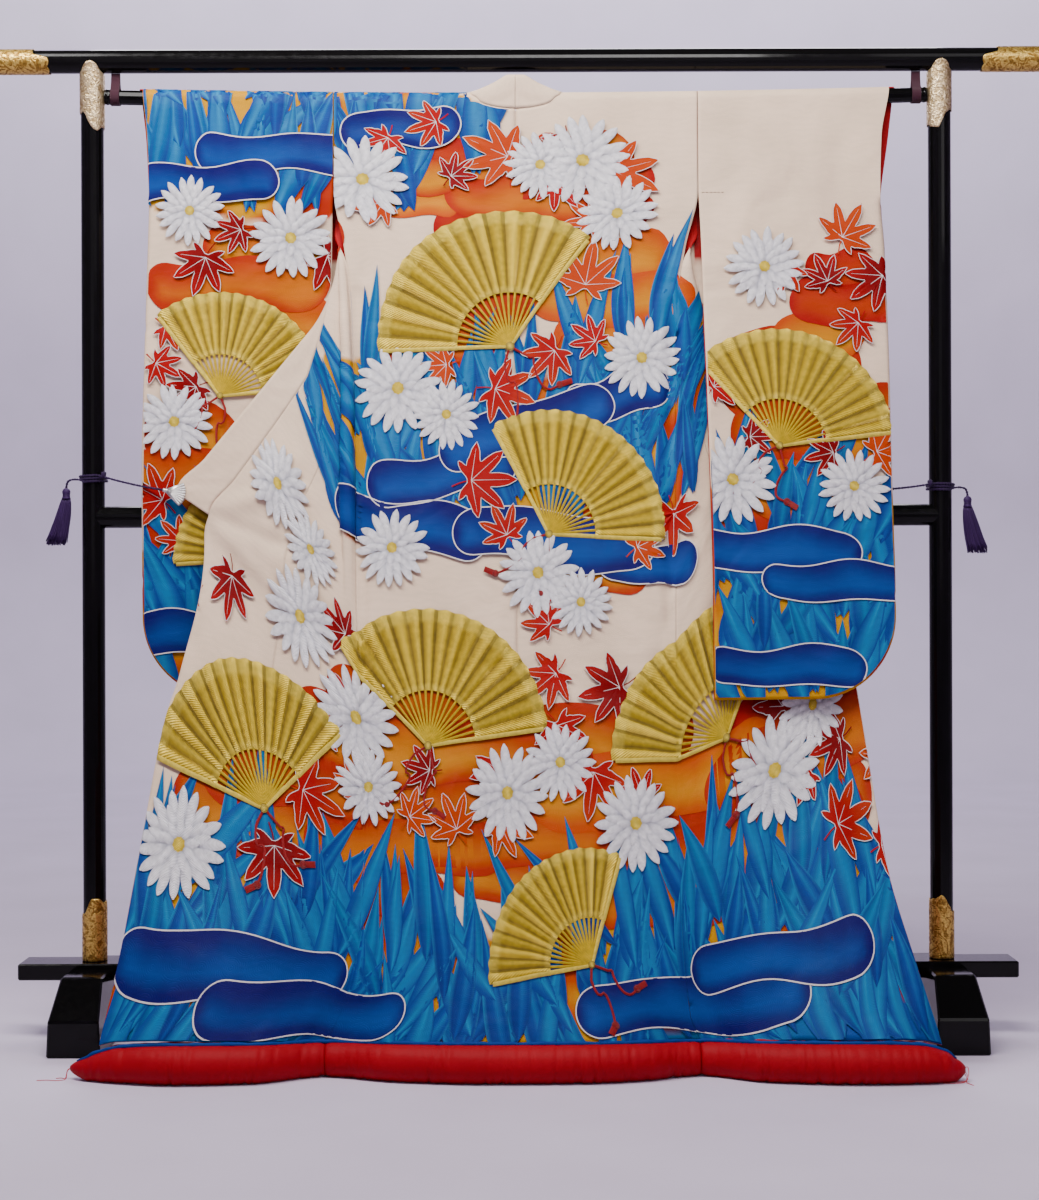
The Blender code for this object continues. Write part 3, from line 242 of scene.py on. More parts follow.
RIGHT_OUTLINE = (
    (0.610, 0.3345, 0.6520, 0.6520),
    (0.850, 0.3370, 0.6600, 0.6600),
    (1.150, 0.3330, 0.6600, 0.6600),
    (1.400, 0.3280, 0.6550, 0.6560),
    (CUFF_BOTTOM, 0.3250, 0.6490, 0.6510),
    (SLIT_TOP, 0.3240, 0.6480, 0.6530),
    (1.600, 0.3240, 0.6505, 0.6665),
    (1.676, 0.3240, 0.6645, 0.6755),
    (1.700, 0.3240, 0.6660, 0.6765),
)
HANGS = {-1: LEFT_SLEEVE, 1: RIGHT_SLEEVE}
OUTLINES = {-1: LEFT_OUTLINE, 1: RIGHT_OUTLINE}

# Collar round the back of the neck, from the middle to the far side
SEAM_X, SEAM_TURN, SEAM_DROP, RIM_X, RIM_Y, RIM_Z = range(6)
NECK = (
    (0.0000, 90.0, 0.0160, 0.000, -0.0150, 1.7105),
    (0.0291, 90.0, 0.0130, 0.016, -0.0145, 1.7100),
    (0.0581, 90.0, 0.0060, 0.030, -0.0130, 1.7020),
    (0.0700, 72.0, 0.0010, 0.037, -0.0110, 1.6980),
    (0.0790, 50.0, 0.0000, 0.042, -0.0090, 1.6950),
    (0.0820, 0.0, 0.0000, 0.048, 0.0020, 1.6890),
    (0.0830, -30.0, 0.0000, 0.046, 0.0100, 1.6840),
    (0.0840, -60.0, 0.0000, 0.040, 0.0155, 1.6760),
)


# Shape of the cloth


def read(table, key, column):
    """A table's column read smoothly at an array of keys."""
    keys = np.array([row[0] for row in table])
    values = np.array([row[column] for row in table])
    key = np.clip(np.asarray(key, float), keys[0], keys[-1])
    slopes = np.diff(values) / np.diff(keys)
    tangents = np.empty(len(keys))
    tangents[0], tangents[-1] = slopes[0], slopes[-1]
    product = slopes[:-1] * slopes[1:]
    total = slopes[:-1] + slopes[1:]
    tangents[1:-1] = np.where(product > 0, 2 * product / np.where(total == 0, 1, total), 0)
    i = np.clip(np.searchsorted(keys, key, side="right") - 1, 0, len(keys) - 2)
    span = keys[i + 1] - keys[i]
    t = (key - keys[i]) / span
    rise = values[i + 1] - values[i]
    start, end = tangents[i] * span, tangents[i + 1] * span
    return values[i] + start * t + (3 * rise - 2 * start - end) * t**2 + (start + end - 2 * rise) * t**3


def smooth(low, high, value):
    """From 0 at low to 1 at high with soft ends; low may be the greater."""
    t = np.clip((value - low) / (high - low), 0, 1)
    return t * t * (3 - 2 * t)


def unit(vectors):
    """Vectors made one long."""
    return vectors / np.maximum(np.linalg.norm(vectors, axis=-1, keepdims=True), 1e-12)


def run_along(path):
    """How far along a path each of its points lies."""
    return np.concatenate([[0], np.cumsum(np.linalg.norm(np.diff(path, axis=0), axis=1))])


def bar_z(x):
    return BAR_END_Z - BAR_SAG * (1 - np.minimum(np.abs(x) / BAR_HALF, 1) ** 2)


def hem_z(x):
    return (ROLL_LIFT + 0.966) * read(HEM, x, RADIUS) + 0.0006


def fall(level):
    return np.clip((TOP - level) / (TOP - HEM_LEVEL), 0, 1)


def hem_wave(x, level):
    return (read(HEM, x, DEPTH) - HEM_Y) * fall(level) ** WAVE_POWER


def back_y(x, level):
    return -FOLD_RADIUS + (HEM_Y + FOLD_RADIUS) * fall(level) ** HANG_POWER + hem_wave(x, level)


def near_bar(x, level):
    """How far the cloth just under the bar is lifted to follow its bow."""
    return (bar_z(x) - TOP) * np.clip(1 - (TOP - level) / BOW_REACH, 0, 1)


def over_bar(points, level, way):
    """Carry points above the bar's side round it; way is -1 on the near side and 1 beyond."""
    turn = np.clip((level - TOP) / OVER, 0, 1) * math.pi / 2
    over = level > TOP
    x = points[:, 0]
    points[:, 1] = np.where(over, way * FOLD_RADIUS * np.cos(turn), points[:, 1])
    points[:, 2] = np.where(over, bar_z(x) + FOLD_RADIUS * np.sin(turn), points[:, 2])
    return points


def back_sheet(across, level):
    """The back. across is -HALF_BACK at the left side seam and HALF_BACK at the right."""
    low = np.minimum(level, TOP)
    side_x = np.where(across < 0, -read(SIDE_SEAMS, low, LEFT_X), read(SIDE_SEAMS, low, RIGHT_X))
    x = side_x * across / HALF_BACK
    drop = read([(r[SEAM_X], r[SEAM_DROP]) for r in NECK], np.abs(x), 1)
    drop = drop * np.clip(1 - (TOP - low) / BOW_REACH, 0, 1)
    z = low + near_bar(x, low) - drop + (hem_z(x) - HEM_LEVEL) * fall(low) ** HEM_POWER
    return over_bar(np.stack([x, back_y(x, low), z], 1), level, -1)


def front_ends(side, level):
    """Where a front's crosswise thread starts and ends."""
    start_x = read(SIDE_SEAMS, level, LEFT_X if side < 0 else RIGHT_X)
    behind = smooth(SLIT_BOTTOM, SLIT_TOP, level)
    start_x = start_x + (side * (SHOULDER_X - SEAM_GAP) - start_x) * np.minimum(behind * 3, 1)
    start_y = back_y(start_x, level) * (1 - behind) + (FOLD_RADIUS + SEAM_GAP) * behind
    start_z = level + (hem_z(start_x) - HEM_LEVEL) * fall(level) ** HEM_POWER
    end = np.stack([read(EDGES[side], level, c) for c in (EDGE_X, EDGE_Y, EDGE_Z)], 1)
    return np.stack([start_x, start_y, start_z], 1), end, behind


def front_length(side, level):
    start, end, _ = front_ends(side, level)
    return np.linalg.norm(end - start, axis=1)


def front_sheet(side, across, level):
    """A front. |across| is HALF_BACK at the side seam and grows towards the edge."""
    low = np.minimum(level, TOP)
    start, end, behind = front_ends(side, low)
    length = np.linalg.norm(end - start, axis=1)
    share = np.clip((np.abs(across) - HALF_BACK) / length, 0, 1)
    reach = (end[:, 0] - start[:, 0]) * side
    turning = np.clip((TURN_REACH - reach) / TURN_SPAN, 0, 1) * (1 - behind)
    pull = THREAD_PULL * reach * (1 - turning)
    drop = THREAD_PULL * (end[:, 2] - start[:, 2]) * (1 - turning)
    bulge = np.maximum(TURN_X[side] - np.abs(start[:, 0]), 0) / 0.72 * turning
    out = np.stack([side * (pull + bulge), -0.006 * turning, drop], 1)
    inwards = side * (bulge - np.minimum(reach, 0) * turning * 0.6 - pull)
    back = np.stack([inwards, -0.012 * turning, -drop], 1)
    t = share[:, None]
    first, second = start + out, end + back
    points = start * (1 - t) ** 3 + first * 3 * t * (1 - t) ** 2 + second * 3 * t * t * (1 - t) + end * t**3
    under = low < SLIT_BOTTOM
    x = points[:, 0]
    straight = hem_wave(start[:, 0], low) * (1 - share) + hem_wave(end[:, 0], low) * share
    points[:, 1] += np.where(under, hem_wave(x, low) - straight, 0)
    flat = hem_z(start[:, 0]) * (1 - share) + hem_z(end[:, 0]) * share
    points[:, 2] += np.where(under, (hem_z(x) - flat) * fall(low) ** HEM_POWER, 0)
    points[:, 2] += near_bar(x, low)
    if side < 0:
        run = (low - PLEAT_BOTTOM) / (PLEAT_TOP - PLEAT_BOTTOM)
        strength = np.clip(run * 3, 0, 1) * np.clip((1 - run) * 5, 0, 1)
        overlap = read(EDGES[side], low, OVERLAP_SHARE)
        width = np.minimum(PLEAT_WIDTH / np.maximum(length, 0.05), overlap * 0.45)
        place = share / width
        points[:, 1] -= PLEAT_HEIGHT * strength * read(PLEAT, place, PLEAT_RISE)
        points[:, 0] += side * PLEAT_HEIGHT * strength * read(PLEAT, place, PLEAT_LEAN)
    return over_bar(points, level, 1)


def sleeve_outer(side, layer, level):
    return read(OUTLINES[side], level, NEAR_X if layer < 0 else FAR_X)


def sleeve_inner(side, level):
    return read(OUTLINES[side], level, INNER_X)


def sleeve_inset(side, layer, across, level):
    """Distance from a sleeve's sewn edge: its outer edge below the cuff, and its foot."""
    outer = sleeve_outer(side, layer, level)
    from_edge = outer - across
    from_foot = level - SLEEVE_FOOT
    corner = SLEEVE_ROUND - np.hypot(
        np.maximum(SLEEVE_ROUND - from_edge, 0), np.maximum(SLEEVE_ROUND - from_foot, 0)
    )
    return np.minimum(np.minimum(from_edge, from_foot), corner), from_foot


def sleeve_sheet(side, layer, across, level):
    """A sleeve's near (-1) or far (1) layer; across is the distance from the middle of the back."""
    hang = HANGS[side]
    low = np.minimum(level, TOP)
    inner, outer = sleeve_inner(side, low), sleeve_outer(side, layer, low)
    along = np.clip((across - inner) / (outer - inner), 0, 1)
    near = read(hang, low, NEAR_INNER) * (1 - along) + read(hang, low, NEAR_OUTER) * along
    far = read(hang, low, FAR_INNER) * (1 - along) + read(hang, low, FAR_OUTER) * along
    middle = (near + far) / 2
    half = (far - near) / 2 - LAYER_WALL
    inset, from_foot = sleeve_inset(side, layer, across, low)
    shut = 1 - smooth(CUFF_BOTTOM - 0.004, CUFF_BOTTOM + 0.012, low)
    near_edge = np.clip(inset, 0, None) / half
    round_off = np.sqrt(np.clip(1 - (1 - np.minimum(near_edge, 1)) ** 2, 0, 1))
    fullness = np.where(from_foot < half * 2, round_off, round_off * shut + 1 - shut)
    y = middle + layer * (half * fullness + LAYER_WALL)
    points = np.stack([side * across, y, low + near_bar(across, low)], 1)
    return over_bar(points, level, layer)


# Creases: soft troughs (-) and ridges (+) pressed or hung into the cloth

FROM_ACROSS, FROM_LEVEL, TO_ACROSS, TO_LEVEL, SPREAD, RISE = range(6)
BODY_CREASES = (
    (-0.300, 0.668, -0.020, 0.662, 0.007, -0.0009),
    (0.020, 0.664, 0.300, 0.672, 0.007, -0.0011),
    (-0.052, 1.650, -0.085, 1.520, 0.016, 0.0022),
    (0.060, 1.645, 0.120, 1.500, 0.018, 0.0020),
    (0.160, 1.655, 0.200, 1.470, 0.020, -0.0018),
    (-0.170, 1.655, -0.230, 1.480, 0.022, 0.0020),
    (-0.255, 1.440, -0.285, 1.180, 0.014, -0.0026),
    (0.262, 1.450, 0.286, 1.150, 0.014, -0.0026),
    (-0.225, 1.050, -0.262, 0.480, 0.022, 0.0030),
    (0.232, 1.020, 0.250, 0.430, 0.022, 0.0028),
    (-0.120, 0.520, -0.180, 0.080, 0.030, 0.0040),
    (-0.030, 0.400, -0.045, 0.070, 0.028, -0.0034),
    (0.090, 0.460, 0.150, 0.075, 0.030, 0.0036),
    (0.215, 0.380, 0.262, 0.070, 0.022, -0.0036),
    (-0.240, 0.330, -0.286, 0.070, 0.020, -0.0036),
    (-0.395, 0.640, -0.370, 0.120, 0.026, 0.0042),
    (-0.470, 0.700, -0.500, 0.180, 0.026, -0.0040),
    (-0.560, 0.680, -0.600, 0.120, 0.024, 0.0034),
    (-0.420, 0.960, -0.560, 0.790, 0.020, 0.0036),
    (-0.400, 0.860, -0.520, 0.740, 0.016, -0.0030),
    (0.380, 0.640, 0.365, 0.140, 0.026, 0.0042),
    (0.455, 0.600, 0.500, 0.150, 0.026, -0.0040),
    (0.550, 0.560, 0.590, 0.110, 0.024, 0.0034),
    (0.420, 0.960, 0.560, 0.790, 0.020, 0.0030),
    (-0.620, 0.760, -0.420, 0.900, 0.014, 0.0034),
    (-0.630, 0.748, -0.400, 0.800, 0.013, -0.0032),
    (-0.625, 0.742, -0.440, 0.700, 0.014, 0.0036),
    (0.620, 0.760, 0.420, 0.900, 0.014, 0.0030),
    (0.625, 0.742, 0.440, 0.700, 0.014, 0.0032),
    (-0.060, 0.640, -0.220, 0.600, 0.018, 0.0022),
    (0.080, 0.640, 0.240, 0.590, 0.018, -0.0022),
    (0.000, 0.300, 0.060, 0.070, 0.020, 0.0030),
    (-0.200, 0.260, -0.215, 0.070, 0.016, 0.0030),
    (0.300, 0.340, 0.330, 0.070, 0.018, 0.0030),
    (-0.330, 0.360, -0.345, 0.070, 0.018, 0.0034),
    (-0.291, 1.320, -0.290, 0.600, 0.008, -0.0036),
    (-0.271, 1.330, -0.268, 0.620, 0.010, 0.0028),
    (0.290, 1.300, 0.288, 0.740, 0.008, -0.0034),
    (0.272, 1.310, 0.266, 0.750, 0.010, 0.0026),
)
LEFT_SLEEVE_CREASES = (
    (0.325, 1.268, 0.665, 1.262, 0.006, -0.0012),
    (0.325, 0.812, 0.500, 0.808, 0.006, -0.0010),
    (0.505, 0.808, 0.665, 0.810, 0.006, -0.0012),
    (0.400, 1.640, 0.420, 1.300, 0.024, 0.0022),
    (0.560, 1.640, 0.600, 1.350, 0.022, -0.0020),
    (0.480, 1.200, 0.440, 0.880, 0.026, 0.0018),
    (0.600, 1.220, 0.610, 0.860, 0.022, -0.0018),
    (0.380, 0.780, 0.450, 0.650, 0.022, 0.0020),
)
RIGHT_SLEEVE_CREASES = (
    (0.335, 1.325, 0.655, 1.322, 0.006, -0.0012),
    (0.340, 0.792, 0.660, 0.778, 0.006, -0.0012),
    (0.430, 1.640, 0.400, 1.360, 0.024, 0.0022),
    (0.580, 1.630, 0.560, 1.380, 0.022, -0.0022),
    (0.500, 1.290, 0.540, 0.820, 0.028, 0.0020),
    (0.400, 1.240, 0.390, 0.840, 0.022, -0.0018),
    (0.600, 0.760, 0.520, 0.640, 0.024, 0.0020),
)
SLEEVE_CREASES = {-1: LEFT_SLEEVE_CREASES, 1: RIGHT_SLEEVE_CREASES}


def pressed(creases, across, level):
    """How far the creases move the cloth along its normal."""
    rise = np.zeros_like(across)
    for crease in creases:
        ax, az = crease[FROM_ACROSS], crease[FROM_LEVEL]
        dx, dz = crease[TO_ACROSS] - ax, crease[TO_LEVEL] - az
        share = ((across - ax) * dx + (level - az) * dz) / (dx * dx + dz * dz)
        held = np.clip(share, 0, 1)
        away = np.hypot(across - ax - held * dx, level - az - held * dz)
        taper = 0.35 + 0.65 * np.sin(math.pi * held) if crease[SPREAD] > 0.01 else 1.0
        rise += CREASE_GAIN * crease[RISE] * taper * np.exp(-((away / crease[SPREAD]) ** 2))
    return rise


class Sheet:
    """One hung surface that pieces of cloth, dyes and sewing are laid on."""

    def __init__(self, shape, outward, creases, seams=()):
        self.shape, self.outward, self.creases, self.seams = shape, outward, creases, seams

    def normals(self, across, level):
        step = 0.0015
        along = self.shape(across + step, level) - self.shape(across - step, level)
        up = self.shape(across, level + step) - self.shape(across, level - step)
        return unit(np.cross(along, up) * self.outward)

    def at(self, across, level, lift=0.0):
        across, level = np.asarray(across, float), np.asarray(level, float)
        relief = pressed(self.creases, across, level) * smooth(TOP + 0.01, TOP - 0.05, level)
        if self.creases is BODY_CREASES:
            low = np.clip((HEM_PUCKER - level) / (HEM_PUCKER - HEM_LEVEL), 0, 1)
            broad = np.sin(across * 61 + 2.1 * np.sin(across * 23))
            fine = 0.6 * np.sin(across * 137 + 3 * np.sin(across * 9))
            relief = relief + 0.0013 * (broad + fine) * low**1.5
        for seam, tie in self.seams:
            relief -= 0.0007 * np.exp(-(((across - seam) / 0.006) ** 2)) * (level < tie)
        points = self.shape(across, level) + self.normals(across, level) * (relief + lift)[:, None]
        points[:, 1] += SHIFT
        return points


BACK = Sheet(back_sheet, 1, BODY_CREASES, ((0.0, TOP),))
FRONTS = {side: Sheet(partial(front_sheet, side), 1, BODY_CREASES) for side, _ in SIDES}
SLEEVES = {
    (side, layer): Sheet(partial(sleeve_sheet, side, layer), -side * layer, SLEEVE_CREASES[side])
    for side, _ in SIDES
    for layer, _ in LAYERS
}


class Body:
    """The back and both fronts as one cloth, split at the side seams."""

    word = "body"
    spans = ((-HALF_BACK, HALF_BACK, BACK), (-2.0, -HALF_BACK, FRONTS[-1]), (HALF_BACK, 2.0, FRONTS[1]))

    def hold(self, across, level, low):
        """Keep a dye or a stitch on the cloth and off the collar."""
        level = np.clip(level, HEM_LEVEL + 0.001, TOP + OVER * OVER_SHARE)
        if low == -HALF_BACK:
            return across, np.where(np.abs(across) < NECK_ACROSS, np.minimum(level, TOP - 0.004), level)
        side = 1 if low > 0 else -1
        seam = read(EDGES[side], level, SEAM_SHARE)
        limit = HALF_BACK + seam * front_length(side, np.minimum(level, TOP)) - 0.0015
        return side * np.minimum(np.abs(across), limit), level


class Sleeve:
    """One layer of a sleeve."""

    def __init__(self, side, layer):
        self.side, self.layer = side, layer
        self.word = f"sleeve_{dict(SIDES)[side]}_{dict(LAYERS)[layer]}"
        self.spans = ((0.0, 2.0, SLEEVES[side, layer]),)

    def hold(self, across, level, low):
        """Keep a dye or a stitch off the sleeve's seams and edges; low isn't needed here."""
        level = np.clip(level, SLEEVE_FOOT + SEAM_MARGIN, TOP + OVER * OVER_SHARE)
        margin = np.where(level > CUFF_BOTTOM, EDGE_MARGIN, SEAM_MARGIN)
        outer = sleeve_outer(self.side, self.layer, level) - margin
        across = np.clip(across, sleeve_inner(self.side, level) + EDGE_MARGIN, outer)
        reach = SLEEVE_ROUND - SEAM_MARGIN
        turn_x, turn_z = outer + SEAM_MARGIN - SLEEVE_ROUND, SLEEVE_FOOT + SLEEVE_ROUND
        away = np.hypot(across - turn_x, level - turn_z)
        cut = (across > turn_x) & (level < turn_z) & (away > reach)
        pull = reach / np.maximum(away, 1e-6)
        return (
            np.where(cut, turn_x + (across - turn_x) * pull, across),
            np.where(cut, turn_z + (level - turn_z) * pull, level),
        )


BODY = Body()


# Colours


# Shares of the light that each dye or thread sends back
CREAM = np.array((0.775, 0.580, 0.420))
WHITE = np.array((0.930, 0.900, 0.930))
# Grey painted as shade on the white petals' feet and edges
PETAL_SHADE_GREY = np.array((0.300, 0.300, 0.380))
TURQUOISE = np.array((0.002, 0.112, 0.270))
PALE_BLUE = np.array((0.012, 0.180, 0.370))
MID_BLUE = np.array((0.002, 0.050, 0.240))
DEEP_BLUE = np.array((0.006, 0.002, 0.095))
RED = np.array((0.300, 0.001, 0.002))
DEEP_RED = np.array((0.160, 0.001, 0.003))
ORANGE = np.array((0.430, 0.046, 0.0002))
OCHRE = np.array((0.520, 0.190, 0.0006))
YELLOW = np.array((0.520, 0.240, 0.0004))
GOLD = np.array((0.630, 0.420, 0.005))
# Pale gold for borders and sticks, also the painted highlight on fan pleats and domed hearts; the gold after
# it is painted shade
PALE_GOLD_AND_HIGHLIGHT = np.array((0.900, 0.680, 0.080))
GOLD_PAINTED_SHADE = np.array((0.150, 0.085, 0.004))
LINING_RED = np.array((0.340, 0.002, 0.006))
HEM_RED = np.array((0.310, 0.001, 0.008))
PURPLE = np.array((0.030, 0.008, 0.062))
PLUM = np.array((0.050, 0.012, 0.024))
PINK = np.array((0.560, 0.030, 0.040))
OUTLINE = np.array((0.640, 0.590, 0.580))


def mix(first, second, share):
    """Colours between two, one for each share."""
    share = np.clip(np.asarray(share, float), 0, 1)[..., None]
    return first * (1 - share) + second * share


# Materials


class Nodes:
    """A Principled material with short calls for its nodes."""

    def __init__(self, name, roughness, **settings):
        self.material = bpy.data.materials.new(name)
        self.material.use_nodes = True
        self.tree = self.material.node_tree
        self.shader = self.tree.nodes["Principled BSDF"]
        self.shader.inputs["Roughness"].default_value = roughness
        for socket, value in settings.items():
            self.shader.inputs[socket.replace("_", " ")].default_value = value

    def put(self, socket, value):
        """Link a socket to another, or give it a colour or a number."""
        if isinstance(value, bpy.types.NodeSocket):
            self.tree.links.new(value, socket)
        else:
            socket.default_value = (*value, 1.0) if hasattr(value, "__len__") else value

    def feed(self, **sockets):
        for name, value in sockets.items():
            self.put(self.shader.inputs[name.replace("_", " ")], value)

    def node(self, kind, inputs=None, **settings):
        made = self.tree.nodes.new("ShaderNode" + kind)
        for name, value in settings.items():
            setattr(made, name, value)
        for key, value in (inputs or {}).items():
            self.put(made.inputs[key], value)
        return made

    def on_cloth(self):
        return self.node("UVMap", uv_map="cloth").outputs["UV"]

    def in_space(self):
        return self.node("TexCoord").outputs["Object"]

    def attribute(self, name, output):
        return self.node("Attribute", attribute_name=name).outputs[output]

    def noise(self, place, scale, detail, **more):
        inputs = {"Vector": place, "Scale": scale, "Detail": detail, **more}
        return self.node("TexNoise", inputs).outputs["Fac"]

    def ranged(self, value, first, last, low=0.0, high=1.0):
        """A value from low to high carried to first to last."""
        inputs = {"Value": value, "From Min": low, "From Max": high, "To Min": first, "To Max": last}
        return self.node("MapRange", inputs).outputs[0]

    def math(self, operation, first, second=0.5):
        return self.node("Math", {0: first, 1: second}, operation=operation).outputs[0]

    def waves(self, value, rate):
        return self.math("SINE", self.math("MULTIPLY", value, rate))

    def ramp(self, value, *stops):
        made = self.node("ValToRGB", {"Fac": value})
        elements = made.color_ramp.elements
        while len(elements) < len(stops):
            elements.new(0.5)
        for element, (place, colour) in zip(elements, stops):
            element.position = place
            element.color = (*colour, 1.0) if hasattr(colour, "__len__") else (colour, colour, colour, 1.0)
        return made.outputs["Color"]

    def mixed(self, share, first, second, blend="MIX"):
        inputs = {0: share, 6: first, 7: second}
        return self.node("Mix", inputs, data_type="RGBA", blend_type=blend).outputs[2]

    def times(self, first, second):
        return self.mixed(1.0, first, second, "MULTIPLY")

    def bump(self, height, distance, strength=1.0, after=None):
        made = self.node("Bump", {"Height": height, "Distance": distance, "Strength": strength})
        if after is not None:
            self.put(made.inputs["Normal"], after)
        return made.outputs["Normal"]

    def weave(self, place, count):
        split = self.node("SeparateXYZ", {"Vector": place})
        across = self.waves(split.outputs[0], count * 2 * math.pi)
        down = self.waves(split.outputs[1], count * 2 * math.pi)
        return self.math("ADD", self.math("MULTIPLY", across, down), 1.0)


def damask(nodes, place):
    """A woven figure of small linked blossoms that only the light shows."""
    cells = nodes.node(
        "TexVoronoi", {"Vector": place, "Scale": 22.0, "Randomness": 0.55}, voronoi_dimensions="2D"
    )
    inputs = {"Vector": place, "Scale": 26.0, "Distortion": 9.0, "Detail": 1.0}
    petals = nodes.node("TexWave", inputs, wave_type="RINGS")
    rings = nodes.waves(cells.outputs["Distance"], 95.0)
    figure = nodes.math("MULTIPLY", rings, petals.outputs["Fac"])
    return nodes.ramp(figure, (0.18, 0.0), (0.34, 1.0))


def dyed_silk():
    nodes = Nodes("dyed_silk", 0.44, Sheen_Weight=0.008, Sheen_Roughness=0.35, Specular_IOR_Level=0.08)
    place = nodes.on_cloth()
    dye = nodes.attribute("dye", "Color")
    figure = damask(nodes, place)
    slub = nodes.noise(place, 9.0, 5.0, Roughness=0.62)
    base = nodes.times(dye, nodes.ramp(slub, (0.28, 0.90), (0.72, 1.06)))
    # The woven figure also brightens the colour a little: painted sheen
    base = nodes.times(base, nodes.ramp(figure, (0.0, 0.955), (1.0, 1.03)))
    nodes.feed(Base_Color=base, Roughness=nodes.ranged(figure, 0.50, 0.36))
    normal = nodes.bump(nodes.noise(place, 5.0, 2.0, Distortion=1.4), 0.022, 0.40)
    normal = nodes.bump(nodes.noise(place, 14.0, 3.0), 0.004, 0.40, normal)
    normal = nodes.bump(figure, 0.0002, 0.6, normal)
    nodes.feed(Normal=nodes.bump(nodes.weave(place, 900.0), 0.0001, 0.35, normal))
    return nodes.material


def red_silk(name, base, has_place=True):
    nodes = Nodes(name, 0.55, Sheen_Weight=0.01, Sheen_Roughness=0.4, Specular_IOR_Level=0.10)
    place = nodes.on_cloth() if has_place else nodes.in_space()
    slub = nodes.noise(place, 11.0, 6.0, Roughness=0.6)
    nodes.feed(Base_Color=nodes.mixed(slub, base * 0.82, base * 1.14))
    normal = nodes.bump(nodes.noise(place, 30.0, 4.0), 0.003, 0.4)
    nodes.feed(Normal=nodes.bump(nodes.weave(place, 800.0), 0.0001, 0.4, normal))
    return nodes.material


def thread(name, roughness, metallic):
    """Close rows of laid thread: the attribute stitch counts the rows."""
    nodes = Nodes(name, roughness, Metallic=metallic, Sheen_Weight=0.05, Specular_IOR_Level=0.35)
    dye = nodes.attribute("dye", "Color")
    wave = nodes.waves(nodes.attribute("stitch", "Fac"), 2 * math.pi)
    worn = nodes.noise(nodes.on_cloth(), 120.0, 4.0)
    # Painted light: each row of thread is painted darker at its sides and lighter on its crest
    light = nodes.ranged(wave, 0.74, 1.20, -1.0)
    patchy = nodes.ramp(worn, (0.3, 0.82), (0.7, 1.12))
    nodes.feed(Base_Color=nodes.times(nodes.times(dye, light), patchy))
    nodes.feed(Normal=nodes.bump(worn, 0.001, 0.3, nodes.bump(wave, 0.0006, 0.9)))
    return nodes.material


def lacquer():
    nodes = Nodes("black_lacquer", 0.2, Coat_Weight=0.05, Coat_Roughness=0.05, Specular_IOR_Level=0.12)
    place = nodes.in_space()
    cloudy = nodes.noise(place, 6.0, 5.0)
    nodes.feed(Base_Color=nodes.mixed(cloudy, (0.0016, 0.0015, 0.0016), (0.0034, 0.0030, 0.0032)))
    dust = nodes.noise(place, 90.0, 6.0, Roughness=0.7)
    nodes.feed(Roughness=nodes.ranged(dust, 0.08, 0.20, 0.35, 0.75), Normal=nodes.bump(cloudy, 0.0004, 0.3))
    return nodes.material


def gilt(name, low, middle, top):
    """Pressed gilt plate: curling stems on a pebbled ground, its colour darker in the low places and lighter
    on the raised ones.
    """
    nodes = Nodes(name, 0.34, Metallic=0.75)
    place = nodes.in_space()
    swirl = nodes.noise(place, 60.0, 2.0, Distortion=2.4)
    pebbles = nodes.node("TexVoronoi", {"Vector": place, "Scale": 300.0}).outputs["Distance"]
    raised = nodes.ramp(swirl, (0.42, 0.0), (0.54, 1.0))
    relief = nodes.math("ADD", nodes.math("MULTIPLY", raised, 0.55), nodes.math("MULTIPLY", pebbles, 0.6))
    nodes.feed(Base_Color=nodes.ramp(relief, (0.0, low), (0.5, middle), (1.0, top)))
    nodes.feed(Roughness=nodes.ranged(relief, 0.50, 0.30), Normal=nodes.bump(relief, 0.0010, 0.7))
    return nodes.material


def twisted(name, base, count):
    """Cord or braid, with its strands slanting round it."""
    nodes = Nodes(name, 0.6, Sheen_Weight=0.05, Sheen_Roughness=0.4, Specular_IOR_Level=0.25)
    split = nodes.node("SeparateXYZ", {"Vector": nodes.in_space()})
    slant = nodes.math("ADD", nodes.math("ADD", split.outputs[0], split.outputs[2]), split.outputs[1])
    wave = nodes.waves(slant, count * 2 * math.pi)
    # Painted light: the strands are painted darker in the grooves between them and lighter on their crests
    nodes.feed(Base_Color=nodes.times(base, nodes.ranged(wave, 0.55, 1.35, -1.0)))
    nodes.feed(Normal=nodes.bump(wave, 0.0008, 0.8))
    return nodes.material


def plain(name, base, roughness, grain, **settings):
    """One colour, a little cloudy; grain is the clouds' scale."""
    nodes = Nodes(name, roughness, **settings)
    cloudy = nodes.noise(nodes.in_space(), grain, 6.0)
    nodes.feed(Base_Color=nodes.mixed(cloudy, base * 0.9, base * 1.08))
    nodes.feed(Normal=nodes.bump(cloudy, 0.0006, 0.25))
    return nodes.material


DYED = dyed_silk()
LINING = red_silk("red_lining", LINING_RED)
WADDED = red_silk("red_hem", HEM_RED, False)
GOLD_THREAD = thread("gold_thread", 0.40, 0.25)
SILK_THREAD = thread("silk_thread", 0.5, 0.0)
LACQUER = lacquer()
GILT = gilt("pale_gilt", (0.20, 0.125, 0.050), (0.43, 0.305, 0.155), (0.68, 0.53, 0.32))
CAP_GILT = gilt("deep_gilt", (0.12, 0.052, 0.005), (0.38, 0.210, 0.034), (0.74, 0.50, 0.12))
CORD = twisted("tie_cord", PURPLE, 420.0)
RIBBON = twisted("bar_ribbon", PLUM, 300.0)


# Meshes


